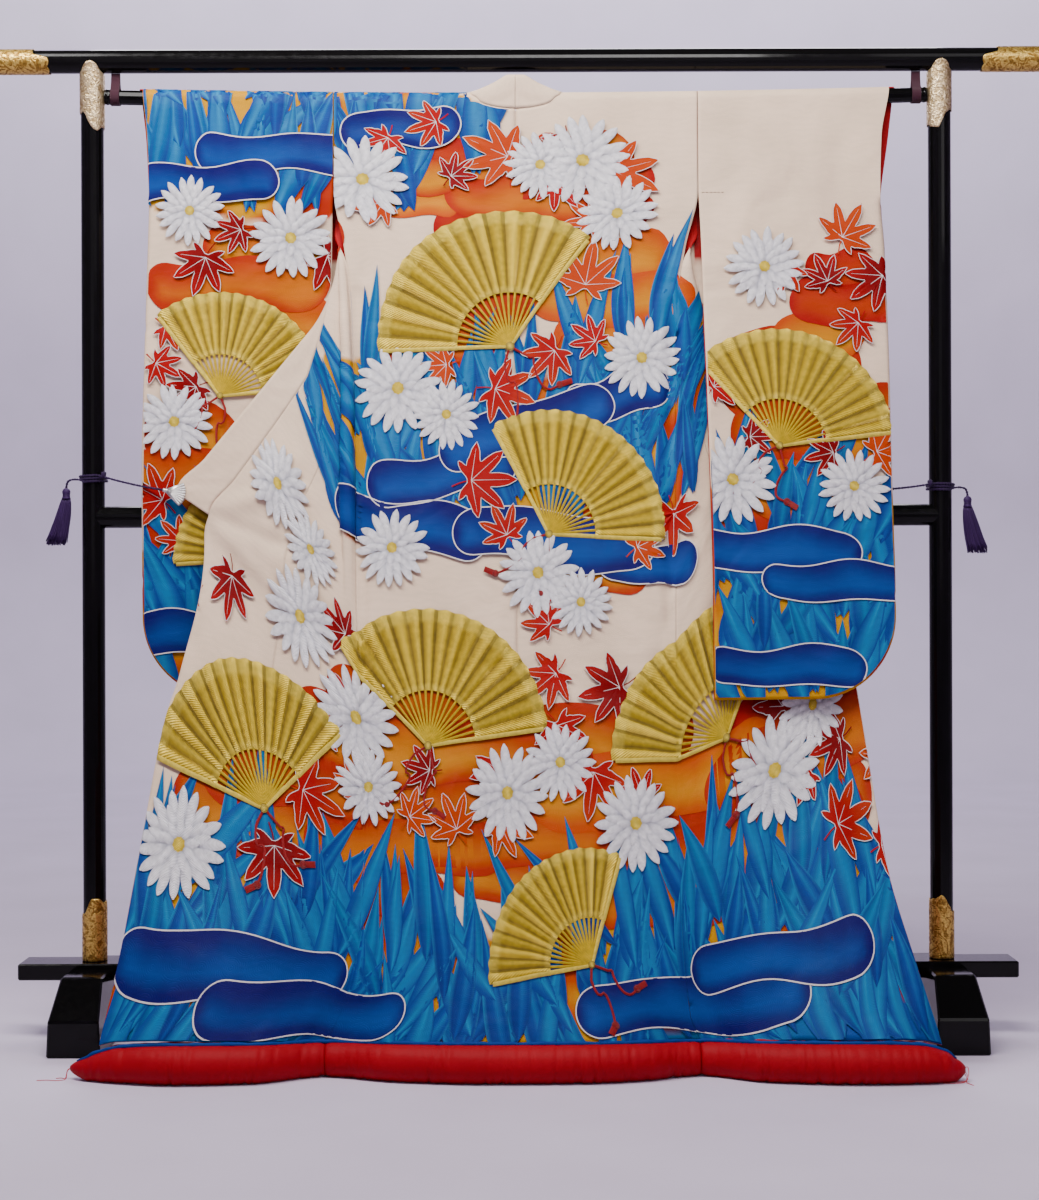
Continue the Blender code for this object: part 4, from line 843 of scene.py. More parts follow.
def add_mesh(name, points, faces, looks, which=None, place=None, dye=None, stitch=None, nodes=()):
    """An object from arrays, with its flat-cloth place, dye and stitch count if it has them.

    Where it stands for nodes of the CAD, it takes their place, and they are hidden.
    """
    mesh = bpy.data.meshes.new(name)
    points = np.asarray(points, float)
    mesh.from_pydata(points.tolist(), [], [list(map(int, face)) for face in faces])
    thing = bpy.data.objects.new(name, mesh)
    bpy.context.scene.collection.objects.link(thing)
    for look in looks:
        mesh.materials.append(look)
    if which is not None:
        mesh.polygons.foreach_set("material_index", np.asarray(which, np.int32))
    mesh.polygons.foreach_set("use_smooth", np.full(len(faces), True))
    if place is not None:
        layer = mesh.uv_layers.new(name="cloth")
        corners = np.empty(len(mesh.loops), np.int32)
        mesh.loops.foreach_get("vertex_index", corners)
        layer.data.foreach_set("uv", np.asarray(place, np.float32)[corners].ravel())
    if dye is not None:
        colours = mesh.color_attributes.new("dye", "FLOAT_COLOR", "POINT")
        filled = np.concatenate([dye, np.ones((len(dye), 1))], 1).astype(np.float32)
        colours.data.foreach_set("color", filled.ravel())
    if stitch is not None:
        values = mesh.attributes.new("stitch", "FLOAT", "POINT")
        values.data.foreach_set("value", np.asarray(stitch, np.float32))
    mesh.update()
    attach(thing, "root")
    if nodes:
        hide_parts(*nodes)
    return thing


def grid_shell(outer, inner, keep=None):
    """Points and quads of a closed wall between two grids; keep says which cells exist."""
    rows, columns = outer.shape[:2]
    if keep is None:
        keep = np.ones((rows - 1, columns - 1), bool)
    number = np.arange(rows * columns).reshape(rows, columns)
    count = rows * columns
    points = np.concatenate([outer.reshape(-1, 3), inner.reshape(-1, 3)])
    r, c = np.nonzero(keep)
    cells = np.stack([number[r, c], number[r, c + 1], number[r + 1, c + 1], number[r + 1, c]], 1)
    sample = len(cells) // 2
    a, b, d = (points[cells[sample, k]] for k in (0, 1, 3))
    if np.dot(np.cross(b - a, d - a), a - points[cells[sample, 0] + count]) < 0:
        cells = cells[:, ::-1]
    ends = np.concatenate([cells[:, [k, (k + 1) % 4]] for k in range(4)])
    keys = dict.fromkeys(map(tuple, ends.tolist()))
    rim = [(b, a, a + count, b + count) for a, b in keys if (b, a) not in keys]
    return points, cells, cells[:, ::-1] + count, np.array(rim)


def used_only(points, faces, *extras):
    """Leave out the points that no face uses."""
    used = np.zeros(len(points), bool)
    used[faces] = True
    number = np.cumsum(used) - 1
    return points[used], number[faces], *(extra[used] for extra in extras)


def cloth_piece(name, node, sheet, across, level, ground, rim_ground, keep=None):
    """A panel's cloth: dyed outside, red lining inside, the rim dyed with rim_ground and else red."""
    a, q = across.ravel(), level.ravel()
    outer, inner = (
        sheet.at(a, q, np.full(len(a), lift)).reshape(*across.shape, 3) for lift in (CLOTH / 2, -CLOTH / 2)
    )
    points, front, back, rim = grid_shell(outer, inner, keep)
    faces = np.concatenate([front, back, rim])
    which = np.repeat((0, 1, 0 if rim_ground else 1), (len(front), len(back), len(rim)))
    place = np.tile(np.stack([a, q], 1), (2, 1))
    dye = np.tile(ground(a, q), (2, 1))
    points, faces, place, dye = used_only(points, faces, place, dye)
    piece = add_mesh(name, points, faces, (DYED, LINING), which, place, dye, nodes=(node,))


def level_rows(foot, extra=()):
    """Levels of a panel's rows, from its foot over the bar, with more rows close to the foot."""
    count = round((TOP - foot) / GRID)
    rows = [np.linspace(foot, TOP, count + 1), TOP + OVER * np.array((0.25, 0.5, 0.75, 1.0))]
    return np.unique(np.concatenate([*rows, foot + np.array(extra)]))


# Dyed ground and motifs


def ripple(across, level, seed):
    """A smooth uneven value from about -1 to 1."""
    rng = np.random.default_rng(seed)
    total = np.zeros_like(across)
    for scale, share in ((9.0, 0.45), (21.0, 0.30), (47.0, 0.16), (95.0, 0.09)):
        for _ in range(2):
            way = rng.uniform(0, math.pi)
            phase = rng.uniform(0, 2 * math.pi)
            total += share * np.sin(scale * (across * math.cos(way) + level * math.sin(way)) + phase)
    return total / 1.2


def field(zones, across, level):
    """Above 0 inside any of the zones (centre across, centre level, half width, half height)."""
    best = np.full_like(across, -9.0)
    for centre_a, centre_q, half_a, half_q in zones:
        here = 1 - ((across - centre_a) / half_a) ** 2 - ((level - centre_q) / half_q) ** 2
        best = np.maximum(best, here)
    return best


class Design:
    """Where a canvas is dyed warm and blue, and what lies on it."""

    def __init__(self, canvas, seed, warm, blue, hem=None):
        self.canvas, self.seed, self.warm, self.blue, self.hem = canvas, seed, warm, blue, hem

    def blueness(self, across, level):
        value = field(self.blue, across, level) + 0.22 * ripple(across, level, self.seed + 1)
        if self.hem:
            swell = 0.045 * np.sin(across * 7 + self.seed)
            top = self.hem + swell + 0.025 * ripple(across, level, self.seed + 2)
            value = np.maximum(value, (top - level) * 6)
        return value

    def ground(self, across, level):
        """Cream, with the yellow, orange and blue that lie behind the grass."""
        deep = ripple(across, level, self.seed + 5)
        patch = ripple(across * 1.6, level * 1.6, self.seed + 7)
        warm = mix(YELLOW, ORANGE, smooth(-0.05, 0.55, patch))
        warm = mix(warm, RED, 0.7 * smooth(0.55, 0.9, patch))
        blue = mix(TURQUOISE, MID_BLUE, smooth(-0.2, 0.6, deep))
        inside = self.blueness(across, level)
        base = mix(CREAM, warm, smooth(0.13, 0.17, inside))
        return mix(base, blue, smooth(1.28, 1.38, inside + 0.12 * deep))

    def growth(self, across, level):
        """Which way the grass points: up from the hem, and fanned a little outwards in other zones."""
        if self.hem and level < self.hem + 0.10:
            return 0.0
        offs = [((across - a) / half_a, (level - q) / half_q) for a, q, half_a, half_q in self.blue]
        return -0.45 * math.sin(min(offs, key=lambda off: math.hypot(*off))[0])


# Widths of one thread of embroidery, and how far a fan's cord lies off the cloth
PETAL_THREAD, LINE_THREAD, FAN_THREAD = 0.0022, 0.002, 0.0026
CORD_LIFT = 0.0048


def halves(columns, rows):
    """Triangles of a grid of points, a row after a row."""
    number = np.arange(rows * columns).reshape(rows, columns)
    a, b, c, d = number[:-1, :-1], number[:-1, 1:], number[1:, 1:], number[1:, :-1]
    return np.concatenate([np.stack([a, b, c], 2).reshape(-1, 3), np.stack([a, c, d], 2).reshape(-1, 3)])


def disc_faces(rings, sides):
    """Triangles of a disc made of rings, the first of which is only its middle."""
    number = np.arange(rings * sides).reshape(rings, sides)
    after = np.roll(number, -1, axis=1)
    return np.concatenate([
        np.stack([number[:-1], number[1:], after[1:]], 2).reshape(-1, 3),
        np.stack([number[1:-1], after[2:], after[1:-1]], 2).reshape(-1, 3),
    ])


def finer(flat, faces, lift, dye, stitch):
    """Split the triangles that lie on the left front's pleat into four."""
    a, q = flat[faces].mean(axis=1).T
    chosen = (a < -0.292) & (a > -0.350) & (q > PLEAT_BOTTOM - 0.02) & (q < PLEAT_TOP + 0.02)
    if not chosen.any():
        return flat, faces, lift, dye, stitch
    some = faces[chosen]
    edges = np.concatenate([some[:, [0, 1]], some[:, [1, 2]], some[:, [2, 0]]])
    edges, back = np.unique(np.sort(edges, axis=1), axis=0, return_inverse=True)
    middle = back.reshape(3, -1).T + len(flat)
    values = [np.concatenate([v, v[edges].mean(axis=1)]) for v in (flat, lift, dye, stitch)]
    parts = [
        np.stack([some[:, 0], middle[:, 0], middle[:, 2]], 1),
        np.stack([middle[:, 0], some[:, 1], middle[:, 1]], 1),
        np.stack([middle[:, 2], middle[:, 1], some[:, 2]], 1),
        middle,
    ]
    flat, lift, dye, stitch = values
    return flat, np.concatenate([faces[~chosen], *parts]), lift, dye, stitch


class Patchwork:
    """Collects dyes or stitches for one canvas, then lays them on its cloth as one piece."""

    def __init__(self, canvas, rise=0.0):
        self.canvas, self.rise = canvas, rise
        self.flat, self.faces, self.lift, self.dye, self.stitch = [], [], [], [], []
        self.count = 0

    def add(self, flat, faces, lift, dye, stitch=0.0):
        n = len(flat)
        self.flat.append(np.asarray(flat, float))
        self.faces.append(np.asarray(faces) + self.count)
        self.lift.append(np.broadcast_to(np.asarray(lift, float), (n,)))
        self.dye.append(np.broadcast_to(dye, (n, 3)))
        self.stitch.append(np.broadcast_to(np.asarray(stitch, float), (n,)))
        self.count += n

    def make(self, kind, look):
        flat, faces = np.concatenate(self.flat), np.concatenate(self.faces)
        lift, dye, stitch = np.concatenate(self.lift), np.concatenate(self.dye), np.concatenate(self.stitch)
        for _ in range(2 if self.canvas is BODY else 0):
            flat, faces, lift, dye, stitch = finer(flat, faces, lift, dye, stitch)
        points, kept, places, dyes, stitches = [], [], [], [], []
        base = 0
        for low, high, sheet in self.canvas.spans:
            across, level = self.canvas.hold(np.clip(flat[:, 0], low, high), flat[:, 1], low)
            moved = (np.abs(across - flat[:, 0]) > 1e-9) | (np.abs(level - flat[:, 1]) > 1e-9)
            some = faces[~moved[faces].all(axis=1)]
            if not len(some):
                continue
            used = np.unique(some)
            number = np.full(len(flat), -1)
            number[used] = np.arange(len(used)) + base
            thin = 0.12 + 0.88 * smooth(TOP + OVER * 0.90, TOP + OVER * 0.20, level[used])
            points.append(sheet.at(across[used], level[used], CLOTH / 2 + (lift[used] + self.rise) * thin))
            kept.append(number[some])
            places.append(np.stack([across[used], level[used]], 1))
            dyes.append(dye[used])
            stitches.append(stitch[used])
            base += len(used)
        points, kept = np.concatenate(points), np.concatenate(kept)
        a, b, c = (points[kept[:, k]] for k in range(3))
        size = np.linalg.norm(np.cross(b - a, c - a), axis=1)
        kept = kept[size > 1e-9]
        add_mesh(
            f"{kind}_{self.canvas.word}", points, kept, (look,), None,
            np.concatenate(places), np.concatenate(dyes), np.concatenate(stitches),
        )


def turned(points, angle, centre=(0.0, 0.0), size=1.0):
    """Points turned anticlockwise and moved; at angle 0 their y runs up the cloth."""
    points = np.asarray(points, float)
    cos, sin = math.cos(angle), math.sin(angle)
    x = points[..., 0] * cos - points[..., 1] * sin
    y = points[..., 0] * sin + points[..., 1] * cos
    return np.stack([centre[0] + size * x, centre[1] + size * y], -1)


def resample(path, spacing):
    path = np.asarray(path, float)
    run = run_along(path)
    count = max(int(round(run[-1] / spacing)), 2)
    at = np.linspace(0, run[-1], count + 1)
    return np.stack([np.interp(at, run, path[:, 0]), np.interp(at, run, path[:, 1])], 1)


def add_line(work, path, width, lift, dye, spacing=0.006, taper=False, rise=0.0):
    """A line of even width along a path; with rise it is a rounded cord of stitches."""
    path = resample(path, spacing)
    way = unit(np.gradient(path, axis=0))
    side = np.stack([-way[:, 1], way[:, 0]], 1)
    half = np.full(len(path), width / 2)
    if taper:
        half = half * np.linspace(1.0, 0.25, len(path))
    columns = (-1.0, 0.0, 1.0) if rise else (-1.0, 1.0)
    rows = np.stack([path + side * (half * c)[:, None] for c in columns], 1)
    heights = np.stack([np.full(len(path), lift + rise * (1 - abs(c))) for c in columns], 1)
    run = np.arange(len(path)) * spacing
    stitch = np.stack([run / LINE_THREAD + 0.4 * c for c in columns], 1)
    work.add(rows.reshape(-1, 2), halves(len(columns), len(path)), heights.ravel(), dye, stitch.ravel())


def add_blade(work, base, angle, length, width, bend, lift, tones):
    """A bamboo-grass leaf: pale edges, a darker half and a lighter half."""
    count = max(int(length / 0.0145), 7)
    t = np.linspace(0, 1, count + 1)
    half = width / 2 * np.sin(math.pi * t**0.72) ** 1.05 + 0.0002
    middle = np.stack([bend * t * t, length * t], 1)
    columns = np.array((-1.0, -0.62, -0.10, 0.22, 0.74, 1.0))
    points = middle[:, None, :] + np.stack([half[:, None] * columns, np.zeros((count + 1, 6))], 2)
    edge, dark, light = tones
    foot = smooth(0.05, 0.75, t)
    shades = np.stack([
        mix(mix(edge, dark, 0.75), edge, foot),
        mix(dark, light, 0.35 * foot),
        mix(light, dark, 0.75 * (1 - foot)),
        mix(light, edge, 0.55 * foot),
        mix(light, dark, 0.8 - 0.35 * foot),
        mix(dark, edge, 0.6 * foot),
    ], 1)
    flat = turned(points.reshape(-1, 2), angle, base)
    work.add(flat, halves(6, count + 1), lift, shades.reshape(-1, 3))


MAPLE_LOBES = ((0, 1.0), (40, 0.93), (80, 0.80), (124, 0.50))


def maple_outline():
    tips = [(-a, r) for a, r in MAPLE_LOBES[:0:-1]] + list(MAPLE_LOBES)
    out = [(-152, 0.10)]
    for i, (angle, reach) in enumerate(tips):
        out += [(angle - 14, reach * 0.60), (angle - 8, reach * 0.80), (angle, reach)]
        out += [(angle + 8, reach * 0.80), (angle + 14, reach * 0.60)]
        if i < len(tips) - 1:
            out.append(((angle + tips[i + 1][0]) / 2, 0.41))
    out.append((152, 0.10))
    return np.array([(-r * math.sin(math.radians(a)), r * math.cos(math.radians(a))) for a, r in out])


MAPLE = maple_outline()


def add_maple(dyes, lines, centre, angle, size, lift, tones):
    """A maple leaf with a pale outline, veins and a stem."""
    shape = np.concatenate([MAPLE, MAPLE[:1]])
    rim = resample(shape, 0.085 if size > 0.04 else 0.12)[:-1]
    shares = (0.0, 0.35, 0.7, 1.0)
    points = np.concatenate([rim * s for s in shares])
    faces = disc_faces(len(shares), len(rim))
    reach = np.linalg.norm(points, axis=1)
    inner, outer = tones
    dye = mix(inner, outer, smooth(0.25, 0.95, reach))
    dyes.add(turned(points, angle, centre, size), faces, lift, dye)
    add_line(lines, turned(shape, angle, centre, size), 0.0011, lift + 0.0001, OUTLINE)
    for turn, far in [(-a, r) for a, r in MAPLE_LOBES[1:3]] + list(MAPLE_LOBES[:3]):
        turn = math.radians(turn)
        tip = (-0.82 * far * math.sin(turn), 0.82 * far * math.cos(turn))
        vein = turned(np.array([(0, 0), tip]), angle, centre, size)
        add_line(lines, vein, 0.0010, lift + 0.0001, OUTLINE, 0.012, True)
    stem = turned(np.array([(0, 0), (0.04, -0.22), (0.12, -0.42)]), angle, centre, size)
    add_line(lines, stem, 0.0022, lift + 0.00005, tones[0], 0.008)


def add_petal(work, base, angle, length, width, low, high, curl):
    """One embroidered petal, domed, with its threads lying across it."""
    count = max(int(length / 0.006), 4)
    t = np.linspace(0, 1, count + 1)
    half = width / 2 * np.sqrt(np.clip(np.sin(math.pi * (0.08 + 0.92 * t) ** 1.35), 0.02, 1))
    columns = np.array((-1.0, -0.55, 0.0, 0.55, 1.0))
    middle = np.stack([curl * t * t, length * t], 1)
    points = middle[:, None, :] + np.stack([half[:, None] * columns, np.zeros((count + 1, 5))], 2)
    dome = 1 - columns**2
    heights = low + (high - low) * dome[None, :] * (0.55 + 0.45 * np.sin(math.pi * t))[:, None]
    # Painted shade: each petal is painted grey towards its foot and its low edges, white on its crest
    shade = smooth(0.0, 0.55, t)[:, None] * (0.62 + 0.38 * dome[None, :])
    dye = mix(PETAL_SHADE_GREY, WHITE, shade)
    stitch = (points[:, :, 1] + 0.5 * np.abs(points[:, :, 0])) / PETAL_THREAD
    flat = turned(points.reshape(-1, 2), angle, base)
    work.add(flat, halves(5, count + 1), heights.ravel(), dye.reshape(-1, 3), stitch.ravel())


# A bloom's rings of petals: count, start, end and width in shares of its size, lift at edge and crest
PETAL_RINGS = (
    (18, 0.30, 1.00, 0.220, 0.0050, 0.0062),
    (14, 0.16, 0.74, 0.205, 0.0058, 0.0070),
    (9, 0.05, 0.46, 0.190, 0.0066, 0.0078),
)


def add_chrysanthemum(silk, gold, centre, size, turn, rng):
    """A white chrysanthemum in three rings of petals round a gold heart."""
    for count, first, last, width, low, high in PETAL_RINGS:
        for i in range(count):
            angle = turn + 2 * math.pi * (i + rng.uniform(-0.12, 0.12)) / count
            base = turned(np.array([(0.0, first * size)]), angle, centre)[0]
            length = (last - first) * size * rng.uniform(0.92, 1.04)
            add_petal(silk, base, angle, length, width * size, low, high, rng.uniform(-0.06, 0.06) * size)
    add_disc(gold, centre, 0.15 * size, 0.0070, 0.0086, GOLD, PALE_GOLD_AND_HIGHLIGHT)


def add_disc(work, centre, radius, low, high, edge, middle):
    """A small domed heart or knot, painted lighter in the middle and darker at the rim: painted highlight and
    shade on its dome.
    """
    sides, rings = 18, 5
    angle = np.tile(2 * math.pi * np.arange(sides) / sides, rings)
    share = np.repeat(np.linspace(0, 1, rings), sides)
    points = np.stack([share * radius * np.cos(angle), share * radius * np.sin(angle)], 1)
    heights = low + (high - low) * np.sqrt(1 - share * share)
    stitch = np.hypot(points[:, 0], points[:, 1]) / LINE_THREAD
    work.add(points + np.asarray(centre), disc_faces(rings, sides), heights, mix(middle, edge, share), stitch)


def add_fan(gold, silk, centre, angle, radius, spread, rng):
    """An open folding fan in raised gold thread: pleats, two borders, sticks, rivet and a knotted cord."""
    pivot = turned(np.array([(0.0, -0.60 * radius)]), angle, centre)[0]
    pleats = 17
    half = math.radians(spread) / 2
    inner, band, outer = 0.40 * radius, 0.90 * radius, radius
    rows = max(int((outer - inner) / 0.0062), 8)
    r = np.linspace(inner, outer, rows + 1)
    t = np.linspace(-1, 1, pleats * 4 + 1)
    fold = 1 - np.abs((np.arange(len(t)) % 4) / 2.0 - 1)
    radii = r[:, None] * np.where(r[:, None] > inner + 0.01, 1 + 0.012 * fold[None, :], 1.0)
    points = np.stack([radii * np.sin(t * half)[None, :], radii * np.cos(t * half)[None, :]], 2)
    base = 0.0054 + 0.0030 * fold[None, :] * (0.55 + 0.45 * (r[:, None] - inner) / (outer - inner))
    in_band = (r > band) | (r < inner + 0.045 * radius)
    heights = base + 0.0009 * in_band[:, None]
    heights[0], heights[-1] = 0.0042, 0.0042
    heights[:, 0] = heights[:, -1] = 0.0042
    # Painted light: each pleat is painted lighter with a painted highlight on its crest, and darker as
    # painted shade in its valley
    painted_fold_light = 0.25 + 0.75 * fold[None, :] * np.ones((rows + 1, 1))
    wobble = rng.uniform(-0.10, 0.10, (1, pleats * 4 + 1)) + rng.uniform(-0.05, 0.05, (rows + 1, 1))
    dye = mix(GOLD_PAINTED_SHADE, GOLD, painted_fold_light * 1.25 + wobble)
    dye = mix(dye, PALE_GOLD_AND_HIGHLIGHT, np.clip(painted_fold_light - 0.62 + wobble, 0, 1) * 0.9)
    dye = np.where(in_band[:, None, None], mix(dye, PALE_GOLD_AND_HIGHLIGHT, 0.45), dye)
    lean = (np.arange(len(t)) // 4 % 2 * 2 - 1)[None, :] * 0.6
    slant = (radii + lean * radii * (np.abs(t * half))[None, :]) / FAN_THREAD
    flat = turned(points.reshape(-1, 2), angle, pivot)
    gold.add(flat, halves(len(t), rows + 1), heights.ravel(), dye.reshape(-1, 3), slant.ravel())
    for i in range(pleats + 1):
        a = -half + 2 * half * i / pleats
        tip = (math.sin(a) * inner * 1.01, math.cos(a) * inner * 1.01)
        line = turned(np.array([(0.0, 0.0), tip]), angle, pivot)
        guard = i in (0, pleats)
        width, tone, rise = (0.0072, PALE_GOLD_AND_HIGHLIGHT, 0.0022) if guard else (0.0042, GOLD, 0.0016)
        add_line(gold, line, width, 0.0047, tone, rise=rise)
    for a in (-half, half):
        ends = np.array((math.sin(a), math.cos(a))) * np.array((inner, outer * 0.97))[:, None]
        add_line(gold, turned(ends, angle, pivot), 0.0085, 0.0050, PALE_GOLD_AND_HIGHLIGHT, rise=0.0030)
    add_disc(gold, pivot, 0.036 * radius, 0.0054, 0.0082, GOLD_PAINTED_SHADE, PALE_GOLD_AND_HIGHLIGHT)
    for way in (-1, 1):
        sway = rng.uniform(0.8, 1.2)
        t = np.linspace(0.1, 1, 12)
        aside = way * radius * (0.05 + 0.13 * t * sway + 0.05 * np.sin(t * 7))
        down = -radius * (0.06 + 0.40 * t + 0.05 * np.sin(t * 9 + way))
        path = np.concatenate([np.zeros((1, 2)), np.stack([aside, down], 1)])
        line = turned(path, angle, pivot)
        add_line(silk, line, 0.0040, CORD_LIFT, RED, rise=0.0016)
        add_disc(silk, line[-1], 0.0065, CORD_LIFT, 0.0070, DEEP_RED, RED)
        tail = turned(np.array([(0, 0), (way * 0.10 * radius, -0.02 * radius)]), angle, line[-1])
        add_line(silk, tail, 0.010, CORD_LIFT, RED, rise=0.0016)


def add_mist(dyes, lines, centre, half_length, half_height, tilt, rng, lift, tones):
    """A bar of mist with round ends, shaded from edge to middle; where lines is given, with a white edge."""
    count = max(int(2 * half_length / 0.010), 18)
    t = np.sin(np.linspace(-math.pi / 2, math.pi / 2, count + 1))
    end = half_height / half_length
    phase = rng.uniform(0, 6.28)
    wave = 0.14 * half_height * np.sin(t * 5.2 + phase)
    height = half_height * np.sqrt(np.clip(1 - (np.clip(np.abs(t) - (1 - end), 0, None) / end) ** 2, 0, 1))
    height = height * (1 + 0.10 * np.sin(t * 3.7 + phase * 2))
    across = max(int(2 * half_height / 0.010), 6)
    c = np.linspace(-1, 1, across + 1)
    edge, middle = tones
    away = np.minimum(1 - np.abs(c)[None, :], (1 - np.abs(t))[:, None] * half_length / half_height)
    away = np.minimum(away, 0.08 + 0.50 * (1 - c)[None, :])
    along, aside = np.broadcast_arrays(t[:, None] * half_length * 2, c[None, :] * half_height)
    shade = smooth(0.05, 0.85, away + 0.18 * ripple(along, aside, int(phase * 99)))
    dye = mix(edge, middle, shade)
    x, y = t * half_length, wave
    flat = np.stack(np.broadcast_arrays(x[:, None], y[:, None] + c[None, :] * height[:, None]), 2)
    flat = turned(flat.reshape(-1, 2), tilt, centre)
    dyes.add(flat, halves(across + 1, count + 1), lift, dye.reshape(-1, 3))
    if lines:
        rim = np.concatenate([np.stack([x, y + height], 1), np.stack([x, y - height], 1)[::-1]])
        add_line(lines, turned(rim, tilt, centre), 0.0021, lift + 0.0002, OUTLINE)


# Camera, light and room

camera = bpy.data.objects.new("camera", bpy.data.cameras.new("camera"))
bpy.context.scene.collection.objects.link(camera)
camera.data.sensor_width = SENSOR
camera.data.lens = SENSOR * FOCAL_PIXELS / PICTURE_HEIGHT
camera.location = (CAMERA_X, SHIFT - CAMERA_AWAY, CAMERA_Z)
camera.rotation_euler = (math.pi / 2, CAMERA_ROLL, 0)
bpy.context.scene.camera = camera

FLOOR = plain("studio_paper", np.array((0.60, 0.525, 0.665)), 0.85, 3.0, Specular_IOR_Level=0.2)


def build_room():
    """A round floor that curves up into a wall on all sides, beyond every camera."""
    flat, bend, top, count = 5.6, 1.3, 7.0, 72
    profile = [(0.0, 0.0), (2.0, 0.0), (4.0, 0.0), (flat, 0.0)]
    for turn in np.linspace(0, math.pi / 2, 10)[1:]:
        profile.append((flat + bend * math.sin(turn), bend - bend * math.cos(turn)))
    profile.append((flat + bend, top))
    angle = 2 * math.pi * np.arange(count) / count
    points = [(r * math.cos(a), r * math.sin(a), CAD_LOW.z + z) for r, z in profile[1:] for a in angle]
    points.append((0.0, 0.0, CAD_LOW.z))
    faces = [(len(points) - 1, i, (i + 1) % count) for i in range(count)]
    for k in range(len(profile) - 2):
        for i in range(count):
            j = (i + 1) % count
            faces.append((k * count + i, (k + 1) * count + i, (k + 1) * count + j, k * count + j))
    mesh = bpy.data.meshes.new("studio_sweep")
    mesh.from_pydata(points, [], faces)
    mesh.materials.append(FLOOR)
    for face in mesh.polygons:
        face.use_smooth = True
    sweep = bpy.data.objects.new("studio_sweep", mesh)
    bpy.context.scene.collection.objects.link(sweep)


def area_light(name, place, target, size, power, colour):
    light = bpy.data.lights.new(name, "AREA")
    light.shape = "RECTANGLE"
    light.size, light.size_y = size
    light.energy = power
    light.color = colour
    thing = bpy.data.objects.new(name, light)
    thing.location = place
    thing.rotation_euler = (Vector(target) - Vector(place)).to_track_quat("-Z", "Y").to_euler()
    thing.visible_camera = False
    bpy.context.scene.collection.objects.link(thing)


build_room()
area_light("key", (-0.5, SHIFT - 1.25, 2.80), (0, 0, 1.35), (2.6, 0.6), 116.0, (1.0, 0.98, 0.96))
area_light("side", (1.9, SHIFT - 2.4, 2.6), (0.2, 0, 1.3), (1.6, 1.6), 21.0, (1.0, 0.98, 0.97))
area_light("front", (0.0, SHIFT - 5.0, 1.9), (0, 0, 0.7), (3.4, 2.2), 10.0, (0.98, 0.98, 1.0))
area_light("wall", (0.0, 4.3, 5.7), (0.0, 6.9, 4.2), (6.4, 1.2), 390.0, (0.95, 0.98, 1.0))
area_light("rim", (0.0, SHIFT + 2.6, 3.2), (0.0, SHIFT, 1.0), (2.6, 1.2), 60.0, (1.0, 1.0, 1.0))
world = bpy.data.worlds.new("studio")
bpy.context.scene.world = world
world.use_nodes = True
world.node_tree.nodes["Background"].inputs["Color"].default_value = (0.74, 0.70, 0.80, 1.0)
world.node_tree.nodes["Background"].inputs["Strength"].default_value = 0.125

# The design: warm clouds and blue grass under fans, chrysanthemums, maple leaves and mist

BODY_DESIGN = Design(
    BODY, 11,
    warm=(
        (-0.11, 1.24, 0.16, 0.10), (0.15, 1.31, 0.14, 0.11), (0.00, 1.49, 0.15, 0.09),
        (-0.16, 1.53, 0.11, 0.07), (0.14, 1.52, 0.13, 0.08), (0.17, 0.89, 0.14, 0.10),
        (-0.16, 0.52, 0.27, 0.13), (0.20, 0.46, 0.26, 0.13), (-0.48, 0.44, 0.20, 0.12),
        (0.52, 0.44, 0.18, 0.12), (0.42, 1.45, 0.12, 0.10), (-0.42, 1.42, 0.12, 0.10),
        (-0.26, 0.36, 0.20, 0.10), (0.36, 0.34, 0.24, 0.10), (0.0, 0.37, 0.20, 0.09),
    ),
    blue=(
        (-0.22, 1.05, 0.22, 0.19), (0.04, 1.01, 0.24, 0.16), (-0.20, 1.60, 0.18, 0.10),
        (0.25, 1.12, 0.14, 0.19), (-0.48, 1.60, 0.16, 0.09),
    ),
    hem=0.30,
)
BODY_FANS = (
    (-0.08, 1.35, 0.21, 28, 128), (0.13, 1.00, 0.19, -32, 122), (-0.13, 0.66, 0.20, -18, 130),
    (0.33, 0.62, 0.19, 30, 122), (-0.52, 0.50, 0.18, 20, 124), (0.06, 0.26, 0.16, 40, 118),
)
BODY_BLOOMS = (
    (0.11, 1.555, 0.072), (0.02, 1.515, 0.055), (0.17, 1.46, 0.062), (-0.23, 1.50, 0.070),
    (-0.21, 1.16, 0.072), (-0.13, 1.10, 0.056), (0.235, 1.20, 0.066), (0.03, 0.82, 0.068),
    (0.12, 0.77, 0.054), (-0.22, 0.84, 0.062), (-0.02, 0.45, 0.072), (0.08, 0.50, 0.060),
    (-0.345, 0.56, 0.074), (-0.29, 0.46, 0.058), (0.22, 0.40, 0.070), (0.48, 0.43, 0.074),
    (0.56, 0.50, 0.056), (-0.60, 0.33, 0.070), (-0.42, 0.69, 0.066), (-0.47, 0.88, 0.060),
    (-0.40, 0.81, 0.052), (0.42, 1.52, 0.06), (-0.42, 1.50, 0.06),
)
BODY_MISTS = (
    (-0.50, 0.150, 0.19, 0.042, 0.02), (-0.36, 0.098, 0.17, 0.038, 0.0), (0.30, 0.112, 0.20, 0.042, 0.03),
    (0.46, 0.165, 0.15, 0.036, 0.0), (0.19, 1.135, 0.10, 0.040, 0.30), (0.02, 1.075, 0.17, 0.044, 0.26),
    (-0.14, 0.995, 0.14, 0.040, 0.22), (-0.19, 1.615, 0.10, 0.032, 0.04), (-0.20, 0.905, 0.15, 0.042, -0.14),
    (0.07, 0.880, 0.19, 0.046, -0.12), (0.25, 0.835, 0.10, 0.034, -0.08),
)
